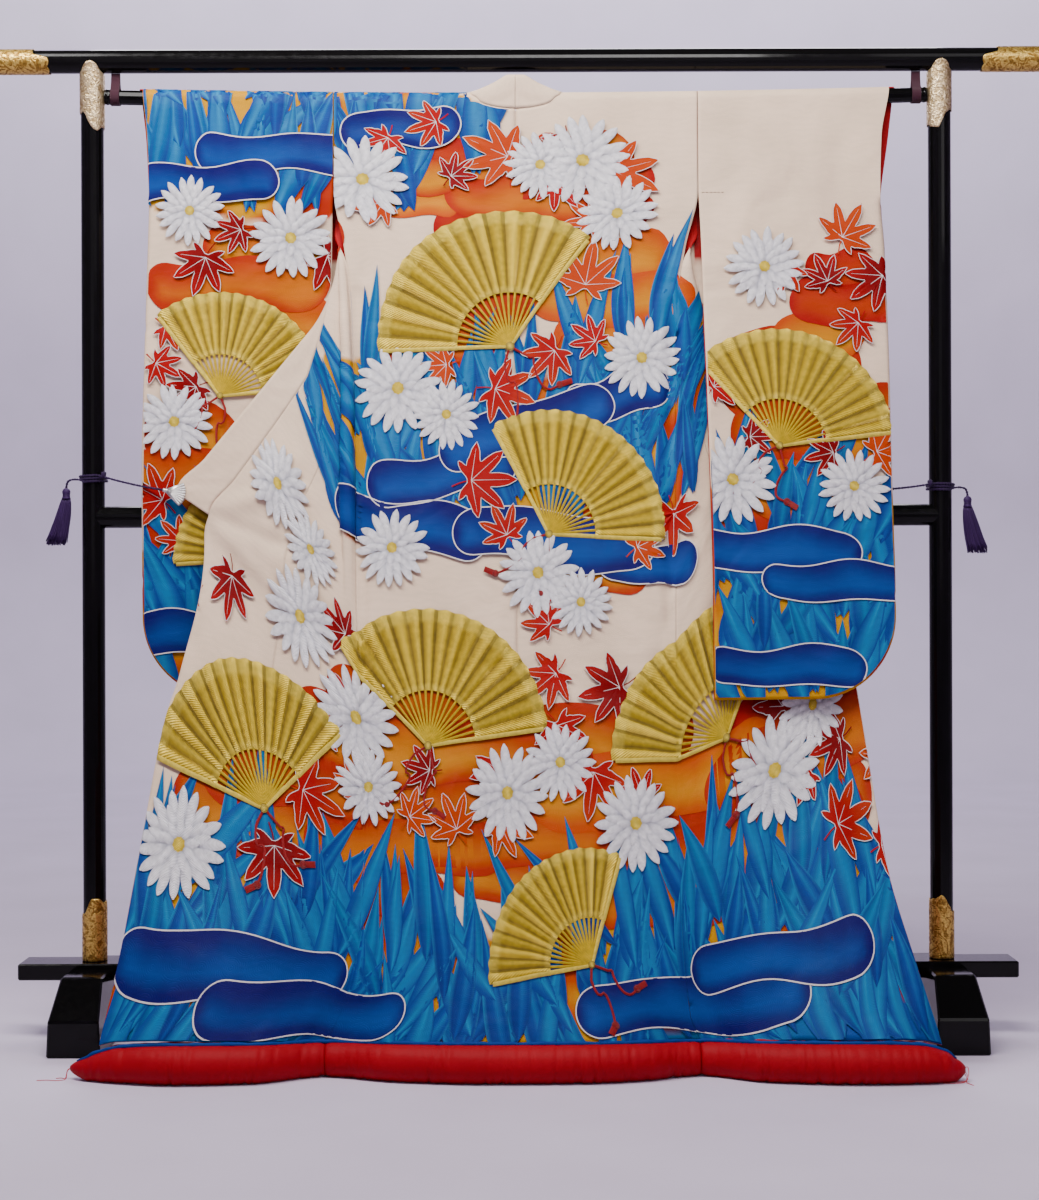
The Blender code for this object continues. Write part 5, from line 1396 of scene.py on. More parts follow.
BODY_SPRAYS = (
    (-0.21, 1.40, 0.10, 8, 0.058), (0.03, 1.50, 0.14, 9, 0.056), (-0.16, 1.56, 0.09, 5, 0.052),
    (-0.02, 0.94, 0.09, 4, 0.056), (0.13, 1.30, 0.13, 13, 0.060), (-0.05, 1.17, 0.10, 8, 0.054),
    (0.25, 0.92, 0.08, 6, 0.054), (0.02, 0.64, 0.12, 9, 0.060), (-0.26, 0.66, 0.10, 8, 0.058),
    (0.19, 0.54, 0.14, 12, 0.060), (-0.12, 0.46, 0.12, 10, 0.058), (-0.44, 0.44, 0.14, 12, 0.060),
    (0.52, 0.60, 0.12, 10, 0.058), (0.60, 0.36, 0.10, 7, 0.054), (-0.60, 0.62, 0.09, 6, 0.054),
    (0.40, 1.42, 0.08, 6, 0.050), (-0.40, 1.40, 0.08, 6, 0.050),
)

# The sleeves' layers: seed, warm and blue zones, fans, blooms, mists and sprays of leaves
SLEEVE_PLANS = {
    (-1, -1): (
        12,
        ((0.46, 1.34, 0.16, 0.10), (0.60, 0.98, 0.12, 0.14)),
        ((0.50, 1.60, 0.30, 0.17), (0.48, 0.74, 0.30, 0.18)),
        ((0.48, 1.24, 0.16, 24, 124), (0.50, 0.93, 0.14, -34, 118)),
        ((0.40, 1.42, 0.066), (0.58, 1.47, 0.056), (0.60, 1.10, 0.062), (0.39, 1.07, 0.056)),
        ((0.42, 1.57, 0.15, 0.034, 0.0), (0.55, 1.52, 0.13, 0.032, 0.0), (0.56, 0.72, 0.13, 0.036, 0.0)),
        (
            (0.46, 1.36, 0.13, 11, 0.056), (0.60, 1.20, 0.08, 5, 0.054), (0.42, 0.98, 0.10, 8, 0.056),
            (0.60, 0.94, 0.09, 6, 0.054),
        ),
    ),
    (1, -1): (
        14,
        ((0.50, 1.08, 0.18, 0.16), (0.56, 1.30, 0.10, 0.09)),
        ((0.50, 0.79, 0.28, 0.26),),
        ((0.50, 1.16, 0.18, -20, 126),),
        ((0.40, 1.02, 0.070), (0.58, 0.99, 0.058), (0.44, 1.36, 0.064)),
        ((0.45, 0.86, 0.15, 0.036, 0.0), (0.56, 0.805, 0.14, 0.032, 0.0), (0.46, 0.66, 0.14, 0.032, 0.0)),
        ((0.56, 1.34, 0.11, 10, 0.058), (0.40, 1.14, 0.10, 8, 0.054), (0.60, 1.08, 0.09, 7, 0.054)),
    ),
    (-1, 1): (
        13,
        ((0.44, 1.24, 0.16, 0.12), (0.60, 0.92, 0.12, 0.14)),
        ((0.50, 1.54, 0.24, 0.10), (0.50, 0.72, 0.26, 0.16)),
        ((0.50, 1.14, 0.16, -20, 124),),
        ((0.40, 1.36, 0.066), (0.58, 1.00, 0.060)),
        ((0.48, 1.54, 0.15, 0.034, 0.0), (0.50, 0.74, 0.15, 0.036, 0.0)),
        ((0.46, 1.28, 0.12, 10, 0.056), (0.44, 0.98, 0.10, 8, 0.054)),
    ),
    (1, 1): (
        15,
        ((0.46, 1.12, 0.16, 0.14),),
        ((0.50, 0.80, 0.26, 0.20),),
        ((0.50, 1.22, 0.17, 22, 124),),
        ((0.42, 1.06, 0.068), (0.56, 1.02, 0.056)),
        ((0.50, 0.80, 0.15, 0.036, 0.0), (0.44, 0.70, 0.13, 0.032, 0.0)),
        ((0.46, 1.38, 0.12, 10, 0.058), (0.44, 1.00, 0.10, 7, 0.054)),
    ),
}
SLEEVE_DESIGNS = {where: Design(Sleeve(*where), *plan[:3]) for where, plan in SLEEVE_PLANS.items()}

# Cloth panels


def build_back(side, word):
    levels = level_rows(HEM_LEVEL)
    seam_x = (0.0581, 0.0640, 0.0700, 0.0745, 0.0790, 0.0805, 0.0820, 0.0840)
    seam = [HALF_BACK * x / SHOULDER_X for x in seam_x]
    shares = np.unique(np.concatenate([np.arange(0.0005, HALF_BACK, GRID), seam, [HALF_BACK]]))
    across, level = np.meshgrid(side * shares, levels)
    neck = np.array(NECK[:6])
    turns = np.interp(shares * SHOULDER_X / HALF_BACK, neck[:, SEAM_X], neck[:, SEAM_TURN])
    level = np.minimum(level, TOP + OVER * (1 - turns[None, :] / 90))
    rise = np.diff(level, axis=0)
    keep = (rise[:, 1:] > 1e-6) | (rise[:, :-1] > 1e-6)
    cloth_piece(
        f"back_panel_{word}", f"back_{word}", BACK, across, level, BODY_DESIGN.ground, True,
        keep,
    )


def build_front(side, word):
    levels = level_rows(HEM_LEVEL)
    overlap = read(EDGES[side], levels, OVERLAP_SHARE)
    collar = read(EDGES[side], levels, SEAM_SHARE)
    length = front_length(side, np.minimum(levels, TOP))
    parts = (
        ("front", np.zeros_like(overlap), overlap, 36, FRONT_FLAT),
        ("overlap", overlap, collar, 28, OVERLAP_FLAT),
    )
    for kind, first, last, columns, flat in parts:
        t = np.linspace(0.0, 1.0, columns + 1)[None, :]
        share = first[:, None] * (1 - t) + last[:, None] * t
        across = side * (HALF_BACK + share * length[:, None])
        level = np.broadcast_to(levels[:, None], across.shape)
        cloth_piece(
            f"{kind}_panel_{word}", f"{kind}_{word}", FRONTS[side], across, level, BODY_DESIGN.ground,
            kind == "front",
        )


def build_sleeve(side, word, layer, kind):
    near_foot = 0.0075 * (1 - np.cos(np.linspace(0, math.pi / 2, 7)))
    levels = level_rows(SLEEVE_FOOT, extra=near_foot)
    outer = sleeve_outer(side, layer, levels)
    up = levels - SLEEVE_FOOT
    below = np.clip(SLEEVE_ROUND - up, 0, None)
    turn = SLEEVE_ROUND - np.sqrt(np.clip(SLEEVE_ROUND**2 - below**2, 0, None))
    limit = outer - turn
    inner = sleeve_inner(side, levels)
    t = np.linspace(0, 1, 56)
    close = near_foot[::-1]
    across = inner[:, None] + (limit - close[0] - inner)[:, None] * t[None, :]
    across = np.concatenate([across, limit[:, None] - close[None, 1:]], 1)
    level = np.broadcast_to(levels[:, None], across.shape)
    cloth_piece(
        f"sleeve_{word}_{kind}_cloth", f"sleeve_{word}_{kind}", SLEEVES[side, layer], across, level,
        SLEEVE_DESIGNS[side, layer].ground, False,
    )


def catmull(rows, count):
    """Rows of points made count times as fine, by a smooth curve through each."""
    rows = np.asarray(rows)
    padded = np.concatenate([2 * rows[:1] - rows[1:2], rows, 2 * rows[-1:] - rows[-2:-1]])
    out = []
    for i in range(1, len(padded) - 2):
        p0, p1, p2, p3 = padded[i - 1 : i + 3]
        for k in range(count):
            t = k / count
            second, third = 2 * p0 - 5 * p1 + 4 * p2 - p3, 3 * p1 - p0 - 3 * p2 + p3
            out.append(0.5 * (2 * p1 + (p2 - p0) * t + second * t**2 + third * t**3))
    out.append(rows[-1])
    return np.array(out)


def build_collar(side, word):
    across_count = 10
    shares = np.linspace(0, 1, across_count + 1)
    neck = []
    for seam_x, turn, drop, rim_x, rim_y, rim_z in NECK:
        turn = math.radians(turn)
        seam_z = bar_z(seam_x) + COLLAR_RADIUS * math.cos(turn) - drop
        seam = np.array((side * seam_x, -COLLAR_RADIUS * math.sin(turn), seam_z))
        rim = np.array((side * rim_x, rim_y, rim_z))
        neck.append([seam + (rim - seam) * s for s in shares])
    levels = np.append(np.arange(TOP, COLLAR_END, -0.012), COLLAR_END)
    rows = []
    for level in levels:
        seam = read(EDGES[side], [level], SEAM_SHARE)[0]
        length = front_length(side, np.array([level]))[0]
        share = seam + (1 - seam) * shares
        at = np.full(len(share), level)
        rows.append(FRONTS[side].shape(side * (HALF_BACK + share * length), at))
    fine = np.concatenate([catmull(np.concatenate([neck, rows[:1]]), 6)[:-1], rows])
    along = np.gradient(fine, axis=0)
    width = np.gradient(fine, axis=1)
    way = unit(np.cross(along, width))
    low = len(fine) * 3 // 4
    if way[low, across_count // 2, 1] > 0:
        way = -way
    pad = 0.0010 + 0.0010 * np.sin(math.pi * shares)[None, :, None] ** 0.7
    points, front, back, rim = grid_shell(fine + way * pad, fine - way * pad)
    points = points + (0, SHIFT, 0)
    faces = np.concatenate([front, back, rim])
    which = np.repeat((0, 1, 0), (len(front), len(back), len(rim)))
    run = run_along(fine[:, 5])
    grid = np.stack(np.meshgrid(shares * 0.09, 3.0 + run), 2).reshape(-1, 2)
    place = np.tile(grid, (2, 1))
    dye = np.broadcast_to(CREAM, (len(points), 3))
    name = f"collar_band_{word}"
    piece = add_mesh(name, points, faces, (DYED, LINING), which, place, dye, nodes=(f"collar_{word}",))


for side, word in SIDES:
    build_back(side, word)
    build_front(side, word)
    build_collar(side, word)
    for layer, kind in LAYERS:
        build_sleeve(side, word, layer, kind)

# Motifs on the cloth

BLADE_TONES = (
    (mix(MID_BLUE, DEEP_BLUE, 0.45), mix(MID_BLUE, DEEP_BLUE, 0.25), PALE_BLUE),
    (PALE_BLUE, mix(MID_BLUE, DEEP_BLUE, 0.60), MID_BLUE),
    (MID_BLUE, mix(MID_BLUE, DEEP_BLUE, 0.35), PALE_BLUE),
    (PALE_BLUE, mix(MID_BLUE, DEEP_BLUE, 0.45), TURQUOISE),
)
CLOUD_TONES = (
    (ORANGE, OCHRE),
    (mix(RED, ORANGE, 0.3), mix(ORANGE, OCHRE, 0.5)),
    (mix(RED, ORANGE, 0.3), OCHRE),
    (RED, mix(RED, ORANGE, 0.6)),
)
MIST_TONES = (DEEP_BLUE, MID_BLUE)
MAPLE_TONES = ((DEEP_RED, RED), (RED, mix(RED, ORANGE, 0.5)), (RED, RED), (mix(RED, ORANGE, 0.7), ORANGE))


# How far the layers of dye and stitches lie off the cloth, each layer clear of the one under it
CLOUD_LIFT, CLOUD_STEP, ZONE_STEP = 0.0005, 0.0005, 0.0002
GRASS_LIFT, GRASS_STEP = 0.0021, 0.00005
MIST_LIFT, MIST_STEP = 0.0042, 0.0007
MAPLE_LIFT, MAPLE_STEP = 0.0048, 0.00016
SEWN_RISE = 0.0006
GRASS_SPACING = 0.064


def lay_design(design, low, high, fans, blooms, mists, leaves):
    """Everything dyed and sewn on one canvas."""
    rng = np.random.default_rng(SEED * 100 + design.seed)
    canvas = design.canvas
    grass, clouds, mist_dyes, mist_lines = (Patchwork(canvas) for _ in range(4))
    maples, lines, gold, silk = (Patchwork(canvas, SEWN_RISE) for _ in range(4))
    for zone, (a, q, half_a, half_q) in enumerate(design.warm):
        for k, step in enumerate((0.62, -0.62, 0.0)):
            reach = half_a * rng.uniform(0.75, 1.0) * (1.05 if k == 2 else 0.85)
            tones = CLOUD_TONES[rng.integers(len(CLOUD_TONES))]
            centre = (a + rng.uniform(-0.25, 0.25) * half_a, q + step * half_q)
            lift = CLOUD_LIFT + CLOUD_STEP * k + ZONE_STEP * (zone % 2)
            add_mist(clouds, None, centre, reach, half_q * 0.44, rng.uniform(-0.05, 0.05), rng, lift, tones)
    order = 0
    for row, q in enumerate(np.arange(high[1], low[1] - 0.03, -GRASS_SPACING)):
        for a in np.arange(low[0] + (row % 2) * GRASS_SPACING / 2, high[0], GRASS_SPACING):
            a1, q1 = a + rng.uniform(-0.016, 0.016), q + rng.uniform(-0.016, 0.016)
            if design.blueness(np.array([a1]), np.array([q1]))[0] < 0.16:
                continue
            main = design.growth(a1, q1) + rng.normal(0.0, 0.22)
            for _ in range(rng.integers(2, 4)):
                tones = BLADE_TONES[rng.integers(len(BLADE_TONES))]
                length = rng.uniform(0.14, 0.27)
                angle = main + rng.uniform(-0.42, 0.42)
                base = (a1 + 0.05 * math.sin(angle), q1 - 0.05 * math.cos(angle))
                lift = GRASS_LIFT + GRASS_STEP * (order * 7 % 29)
                width, bend = rng.uniform(0.026, 0.046), rng.uniform(-0.02, 0.02)
                add_blade(grass, base, angle, length, width, bend, lift, tones)
                order += 1
    for i, (a, q, half_length, half_height, tilt) in enumerate(mists):
        lift = MIST_LIFT + MIST_STEP * (i % 2)
        add_mist(mist_dyes, mist_lines, (a, q), half_length, half_height, tilt, rng, lift, MIST_TONES)
    for a, q, size, angle in leaves:
        if any(math.hypot(a - fan[0], q - fan[1]) < fan[2] * 0.72 for fan in fans):
            continue
        if canvas is BODY and q > 1.12 and abs(a) > HALF_BACK - 0.075:
            continue
        tones = MAPLE_TONES[rng.integers(len(MAPLE_TONES))]
        order += 1
        add_maple(maples, lines, (a, q), angle, size * 1.3, MAPLE_LIFT + MAPLE_STEP * (order % 3), tones)
    for a, q, size in blooms:
        for fan in fans:
            away = math.hypot(a - fan[0], q - fan[1])
            clear = 0.88 * fan[2] + 0.85 * size
            if away < clear:
                a, q = fan[0] + (a - fan[0]) * clear / away, fan[1] + (q - fan[1]) * clear / away
        add_chrysanthemum(silk, gold, (a, q), size * 1.12, rng.uniform(0, 1), rng)
    for a, q, radius, angle, spread in fans:
        add_fan(gold, silk, (a, q), math.radians(angle), radius * 1.15, spread, rng)
    clouds.make("dyed_clouds", DYED)
    grass.make("dyed_grass", DYED)
    mist_lines.make("mist_lines", DYED)
    mist_dyes.make("dyed_mist", DYED)
    maples.make("dyed_maples", DYED)
    lines.make("maple_lines", DYED)
    silk.make("white_embroidery", SILK_THREAD)
    gold.make("gold_embroidery", GOLD_THREAD)


def scattered(groups, seed):
    """Leaves in sprays, none on another; a group is (across, level, spread, count, size)."""
    rng = np.random.default_rng(seed)
    out = []
    for a, q, spread, count, size in groups:
        tries = made = 0
        while made < count and tries < 400:
            tries += 1
            turn, reach = rng.uniform(0, 2 * math.pi), spread * math.sqrt(rng.uniform())
            x, y = a + reach * math.cos(turn), q + reach * 0.85 * math.sin(turn)
            own = size * rng.uniform(0.70, 1.20)
            if all(math.hypot(x - o[0], y - o[1]) > 0.80 * (own + o[2]) for o in out):
                out.append((x, y, own, rng.uniform(-math.pi, math.pi)))
                made += 1
    return out


lay_design(
    BODY_DESIGN, (-0.72, 0.06), (0.72, 1.70), BODY_FANS, BODY_BLOOMS, BODY_MISTS, scattered(BODY_SPRAYS, 21)
)
for leaf_seed, (where, plan) in enumerate(SLEEVE_PLANS.items(), 22):
    fans, blooms, mists, sprays = plan[3:]
    lay_design(
        SLEEVE_DESIGNS[where], (0.32, 0.60), (0.68, 1.70), fans, blooms, mists, scattered(sprays, leaf_seed)
    )

# Tack stitches, seams and the sleeves' turned-in edges

tacks = Patchwork(SLEEVE_DESIGNS[1, -1].canvas)
for i in range(6):
    start = 0.3300 + 0.0068 * i
    add_line(tacks, [(start, 1.4990), (start + 0.0048, 1.4995)], 0.0016, 0.0002, CREAM, 0.0012, rise=0.0012)
tacks.make("tack_stitches", SILK_THREAD)


def seam_strips(name, look, top, count, half, lift, dye_of):
    """A narrow strip up the centre-back seam and both side seams."""
    work = Patchwork(BODY)
    rows = np.linspace(HEM_LEVEL + 0.001, top, count)
    for middle in (0.0, -HALF_BACK - 0.0005, HALF_BACK + 0.0005):
        strip = np.stack([np.stack([middle + half * way + 0 * rows, rows], 1) for way in (-1, 1)], 1)
        strip = strip.reshape(-1, 2)
        work.add(strip, halves(2, count), lift, dye_of(strip[:, 0], strip[:, 1]))
    work.make(name, look)


# Painted shade: the strips in the seams are the ground's colour darkened by a fifth
def shaded_seam_ground(across, level):
    return BODY_DESIGN.ground(across, level) * 0.80


seam_strips("seam_allowance", LINING, TOP - 0.01, 120, 0.0035, -CLOTH - 0.0006, lambda a, q: LINING_RED)
seam_strips("shaded_seam_joints", DYED, TOP - 0.006, 160, 0.0030, -0.0007, shaded_seam_ground)


def build_slit_lining(side, word):
    """The sleeve's turned-in edge behind the slit under the arm: red above, the cloth's cream below."""
    foot, top, width = 1.300, 1.520, 0.026
    levels = np.linspace(foot, top, 24)
    shares = np.linspace(0, 1, 16)
    reach = width * smooth(foot, foot + 0.03, levels) * smooth(top, top - 0.02, levels)
    across = sleeve_inner(side, levels)[:, None] + 0.004 - (0.004 + reach)[:, None] * shares[None, :]
    level = np.broadcast_to(levels[:, None], across.shape)
    flat = np.stack([across.ravel(), level.ravel()], 1)
    points = SLEEVES[side, 1].at(flat[:, 0], flat[:, 1], -CLOTH / 2 - 0.0006)
    inner = sleeve_inner(side, flat[:, 1])
    own = np.minimum(smooth(1.372, 1.386, flat[:, 1]), smooth(inner - 0.013, inner - 0.010, flat[:, 0]))
    # Painted shade: the cream and the red are both darkened where the edge lies back in the slit
    dye = mix(CREAM * 0.9, LINING_RED * 0.8, own)
    add_mesh(f"slit_lining_{word}", points, halves(len(shares), len(levels)), (DYED,), None, flat, dye)


for side, word in SIDES:
    build_slit_lining(side, word)

# Padded hem


def ring_quads(rings, sides):
    """Quads between rings of points that each close on themselves."""
    number = np.arange(rings * sides).reshape(rings, sides)
    after = np.roll(number, -1, axis=1)
    return np.stack([number[:-1], after[:-1], after[1:], number[1:]], 2).reshape(-1, 4)


def tube_faces(rings, sides):
    """The quads of a tube, and a face on each of its ends."""
    first = list(range(sides))
    return ring_quads(rings, sides).tolist() + [first[::-1], [i + (rings - 1) * sides for i in first]]


def build_roll(word, start, end, start_free, end_free):
    """A padded roll with fine uneven puckers, narrowed at the seams and round at a free tip."""
    rng = np.random.default_rng(SEED + len(word))
    length = end - start
    count = round(length / 0.0035)
    x = np.linspace(start, end, count + 1)
    sides = 36
    angle = 2 * math.pi * np.arange(sides) / sides
    radius = read(HEM, x, RADIUS)
    middle = np.maximum(ROLL_LIFT * radius, ROLL_LEAST)
    y = read(HEM, x, DEPTH)
    pucker = np.zeros((len(x), sides))
    spot = start
    while spot < end:
        spread = rng.uniform(0.0016, 0.0045)
        depth = rng.uniform(0.0008, 0.0036)
        lean = rng.uniform(-0.004, 0.004)
        reach = rng.uniform(0.3, 1.0)
        centre = rng.uniform(0, 2 * math.pi)
        along = np.exp(-(((x[:, None] - spot - lean * np.sin(angle)[None, :]) / spread) ** 2))
        round_it = 0.35 + 0.65 * np.exp(-((np.angle(np.exp(1j * (angle - centre))) / (reach * 2.4)) ** 2))
        crest = 1 - 0.85 * np.exp(-(((angle - math.pi / 2) / 0.55) ** 2))
        pucker -= depth * along * (round_it * crest)[None, :]
        spot += rng.uniform(0.006, 0.022)
    for end_x, free in ((start, start_free), (end, end_free)):
        if not free:
            pucker -= (0.0024 * np.exp(-(((x - end_x) / 0.006) ** 2)))[:, None]
    size = np.maximum(radius[:, None] + pucker, 0.0008)
    points = np.stack([
        np.broadcast_to(x[:, None], size.shape),
        y[:, None] + size * np.cos(angle)[None, :],
        np.maximum(middle[:, None] + size * np.sin(angle)[None, :], 0.0),
    ], 2)
    points[:, :, 1] += SHIFT
    faces = tube_faces(len(x), sides)
    name = f"padded_hem_{word}"
    piece = add_mesh(name, points.reshape(-1, 3), faces, (WADDED,), nodes=(f"hem_roll_{word}",))


build_roll("left", HEM[0][0], HEM_LEFT_SEAM - 0.0003, True, False)
build_roll("back", HEM_LEFT_SEAM + 0.0003, HEM_RIGHT_SEAM - 0.0003, False, False)
build_roll("right", HEM_RIGHT_SEAM + 0.0003, HEM[-1][0], False, True)

# The folds that close the hem on the roll, and the loose basting threads at its tips


def frames_along(path, lean):
    """Two directions across a path at each of its points, carried along it without a twist."""
    along = unit(np.gradient(path, axis=0))
    side = np.cross(along[0], lean)
    sides = []
    for way in along:
        side = side - way * np.dot(side, way)
        side = side / np.linalg.norm(side)
        sides.append(side)
    return np.array(sides), np.cross(along, sides)


def thin_tube(path, radius, sides=6):
    """A round thread or cord along a path; radius may vary along it."""
    path = np.asarray(path, float)
    radius = np.broadcast_to(np.asarray(radius, float), (len(path),))
    first, second = frames_along(path, (0.3, 0.2, 0.93))
    turn = 2 * math.pi * np.arange(sides)[None, :, None] / sides
    round_it = np.cos(turn) * first[:, None, :] + np.sin(turn) * second[:, None, :]
    points = path[:, None, :] + radius[:, None, None] * round_it
    return points.reshape(-1, 3), tube_faces(len(path), sides)


def joined(name, parts, look, nodes=()):
    """One object from several (points, faces)."""
    points, faces, base = [], [], 0
    for some, quads in parts:
        points.append(some)
        faces += [[v + base for v in face] for face in quads]
        base += len(some)
    add_mesh(name, np.concatenate(points), faces, (look,), nodes=nodes)


def hem_fold(name, low, high, depth, size, look):
    """A narrow puckered fold of cloth that lies on the roll along its joint with the hem."""
    rng = np.random.default_rng(SEED + len(name))
    x = np.arange(low, high, 0.004)
    radius = read(HEM, x, RADIUS)
    top = np.maximum(ROLL_LIFT * radius, ROLL_LEAST) + radius
    waves = ((47, 0.4), (113, 0.35), (260, 0.25))
    wave = sum(np.sin(x * rate + rng.uniform(0, 6)) * share for rate, share in waves)
    fade = smooth(low, low + 0.03, x) * smooth(high, high - 0.03, x)
    path = np.stack([x, read(HEM, x, DEPTH) + SHIFT + depth, top + 0.0008 + 0.0006 * wave], 1)
    joined(name, [thin_tube(path, (size + 0.0007 * wave) * (0.35 + 0.65 * fade), 10)], look)


FOLD_BLUE = plain("blue_fold", mix(MID_BLUE, DEEP_BLUE, 0.35), 0.6, 40.0, Specular_IOR_Level=0.1)
hem_fold("hem_fold_front", HEM[0][0] + 0.012, HEM[-1][0] - 0.012, -0.0030, 0.0034, FOLD_BLUE)
hem_fold("hem_fold_lining", -0.672, 0.676, 0.0054, 0.0030, WADDED)
THREAD = plain("basting_thread", PINK, 0.7, 200.0)
LOOSE_THREADS = (
    (0, (
        (0, 0, 0), (-0.004, -0.003, -0.003), (-0.008, -0.008, -0.0176), (-0.020, -0.014, -0.0176),
        (-0.036, -0.010, -0.0176), (-0.052, -0.013, -0.0176),
    )),
    (0, (
        (0, 0, 0), (-0.005, 0.002, -0.006), (-0.007, -0.001, -0.0175), (-0.016, 0.006, -0.0175),
        (-0.024, 0.003, -0.0175),
    )),
    (-1, (
        (-0.002, 0, 0.002), (0.004, -0.004, 0.004), (0.003, -0.012, -0.008), (-0.006, -0.020, -0.0176),
        (-0.020, -0.024, -0.0176), (-0.040, -0.022, -0.0176),
    )),
    (-1, (
        (-0.002, 0, 0), (0.003, -0.008, -0.010), (-0.001, -0.018, -0.0175), (0.002, -0.030, -0.0175),
        (0.006, -0.040, -0.0175),
    )),
    (-1, (
        (-0.003, 0, -0.002), (0.001, -0.010, -0.014), (-0.010, -0.014, -0.0176), (-0.026, -0.012, -0.0176),
        (-0.034, -0.018, -0.0176),
    )),
)
loose = []
for tip, trail in LOOSE_THREADS:
    path = catmull(np.array((HEM[tip][PLACE], HEM[tip][DEPTH] + SHIFT, ROLL_LEAST)) + np.array(trail), 10)
    path[:, 2] = np.maximum(path[:, 2], 0.0008)
    loose.append(thin_tube(path, 0.0006, 5))
joined("basting_threads", loose, THREAD)

# Stand


def curls(first, second, seed):
    """Low relief of spiral stems: a height from 0 to 1 for places on a plate."""
    rng = np.random.default_rng(seed)
    height = np.zeros_like(first)
    low_a, high_a, low_b, high_b = first.min(), first.max(), second.min(), second.max()
    step, reach, pitch = 0.0105, 0.0085, 0.0042
    for a in np.arange(low_a, high_a + step, step):
        for b in np.arange(low_b, high_b + step, step):
            ca, cb = a + rng.uniform(-0.002, 0.002), b + rng.uniform(-0.002, 0.002)
            way = 1 if rng.uniform() < 0.5 else -1
            d = np.hypot(first - ca, second - cb)
            spiral = np.cos(way * np.arctan2(second - cb, first - ca) + 2 * math.pi * d / pitch)
            height = np.maximum(height, (0.5 + 0.5 * spiral) * np.exp(-((d / reach) ** 4)))
    return height


def plate(node, radius, wall, low, high, place, steps, look, seed, hug=None):
    """A chased metal sleeve on a post or rail; low and high are its rims round the angle."""
    sides, relief = 84, 0.0007
    angle = 2 * math.pi * np.arange(sides) / sides
    t = np.linspace(0, 1, steps + 1)
    bottom, top = np.array([low(a) for a in angle]), np.array([high(a) for a in angle])
    along = bottom[None, :] + (top - bottom)[None, :] * t[:, None]
    height = curls(np.broadcast_to(angle * radius, along.shape), along, seed)
    rim = np.minimum(along - bottom[None, :], top[None, :] - along)
    bead = np.exp(-(((rim - 0.0013) / 0.0010) ** 2))
    lift = wall + relief * np.where(rim > 0.003, height, 0) + 0.0008 * bead
    rings = []
    for size in (radius + lift, np.full_like(lift, radius)):
        first = size * np.cos(angle)[None, :]
        second = size * np.sin(angle)[None, :]
        if hug:
            second = hug(second, along, size - radius)
        rings.append(place(first, second, along).reshape(-1, 3))
    points = np.concatenate(rings)
    quads = ring_quads(steps + 1, sides)
    count = (steps + 1) * sides
    number = np.arange(sides)
    after = np.roll(number, -1)
    last = count - sides
    faces = np.concatenate([
        quads,
        quads[:, ::-1] + count,
        np.stack([after, number, number + count, after + count], 1),
        np.stack([number, after, after + count, number + count], 1) + last,
    ])
    corner, first, _, second = points[faces[0]]
    if np.dot(np.cross(first - corner, second - corner), corner - points[count]) < 0:
        faces = faces[:, ::-1]
    add_mesh(f"chased_{node}", points, faces, (look,), nodes=(node,))


def scallop(angle):
    return abs(math.sin(4 * angle + math.pi / 4))


def ring_across(x, z, radius, sides):
    """A ring of points round the stand's long axis."""
    angle = 2 * math.pi * np.arange(sides) / sides
    return np.stack([np.full(sides, x), SHIFT + radius * np.cos(angle), z + radius * np.sin(angle)], 1)


def build_plates(side, word):
    x = side * POST_X
    fit, wall, lap = 0.0004, 0.0012, 0.0090
    clear = RAIL_RADIUS + 3 * fit

    def upright(first, second, along):
        return np.stack([x + first, SHIFT + second, along], -1)

    def lengthwise(first, second, along):
        return np.stack([side * along, SHIFT + first, RAIL_Z + second], -1)

    def hug_rail(second, along, lift):
        below = RAIL_Z - along
        room = np.sqrt(np.clip(clear**2 - np.clip(below, 0, None) ** 2, 0, None)) + lift
        return np.where(below < clear, np.copysign(np.maximum(np.abs(second), room), second), second)

    def top_of(angle):
        second = (POST_RADIUS + fit) * math.sin(angle)
        saddle = RAIL_Z - math.sqrt(max(clear**2 - second**2, 0.0)) - 0.0012
        facing = max(abs(math.sin(angle)) - 0.70, 0.0) / 0.30
        peak = RAIL_Z - lap + 0.0060 * facing
        return saddle + (peak - saddle) * facing**0.8 if facing > 0 else saddle

    def top_rim(angle):
        inwards = -side * math.cos(angle)
        slant = 0.0315 * smooth(0.34, -0.66, inwards) + 0.0060 * smooth(0.55, 1.0, inwards)
        return 1.6125 + slant + 0.0026 * scallop(angle)

    def foot_rim(angle):
        inwards = -side * math.cos(angle)
        slant = 0.0290 * smooth(-0.85, 0.05, inwards) - 0.0075 * smooth(0.25, 1.0, inwards)
        return 0.2205 + slant - 0.0028 * scallop(angle)

    def cap_rim(angle):
        return 0.8330 + 0.0280 * smooth(0.12, 0.52, math.sin(angle)) - 0.0030 * scallop(angle)

    plate(
        f"post_top_fitting_{word}", POST_RADIUS + fit, wall, top_rim, top_of, upright, 40, GILT, 31, hug_rail,
    )
    plate(
        f"post_foot_fitting_{word}", POST_RADIUS + fit, wall, lambda a: BOARD_TOP + 0.0006, foot_rim,
        upright, 40, CAP_GILT, 32,
    )
    plate(
        f"rail_cap_{word}", RAIL_RADIUS + fit, 0.0010, cap_rim, lambda a: RAIL_HALF + 0.0006,
        lengthwise, 60, CAP_GILT, 33,
    )
    dome = ((1.0, 0.0004), (0.97, 0.0016), (0.80, 0.0022), (0.45, 0.0030), (0.05, 0.0032))
    radius = RAIL_RADIUS + fit + 0.0010
    rings = [ring_across(side * (RAIL_HALF + out), RAIL_Z, radius * share, 64) for share, out in dome]
    faces = ring_quads(len(dome), 64).tolist() + [list(range(64)), list(range(256, 320))]
    add_mesh(f"rail_cap_end_{word}", np.concatenate(rings), faces, (CAP_GILT,))


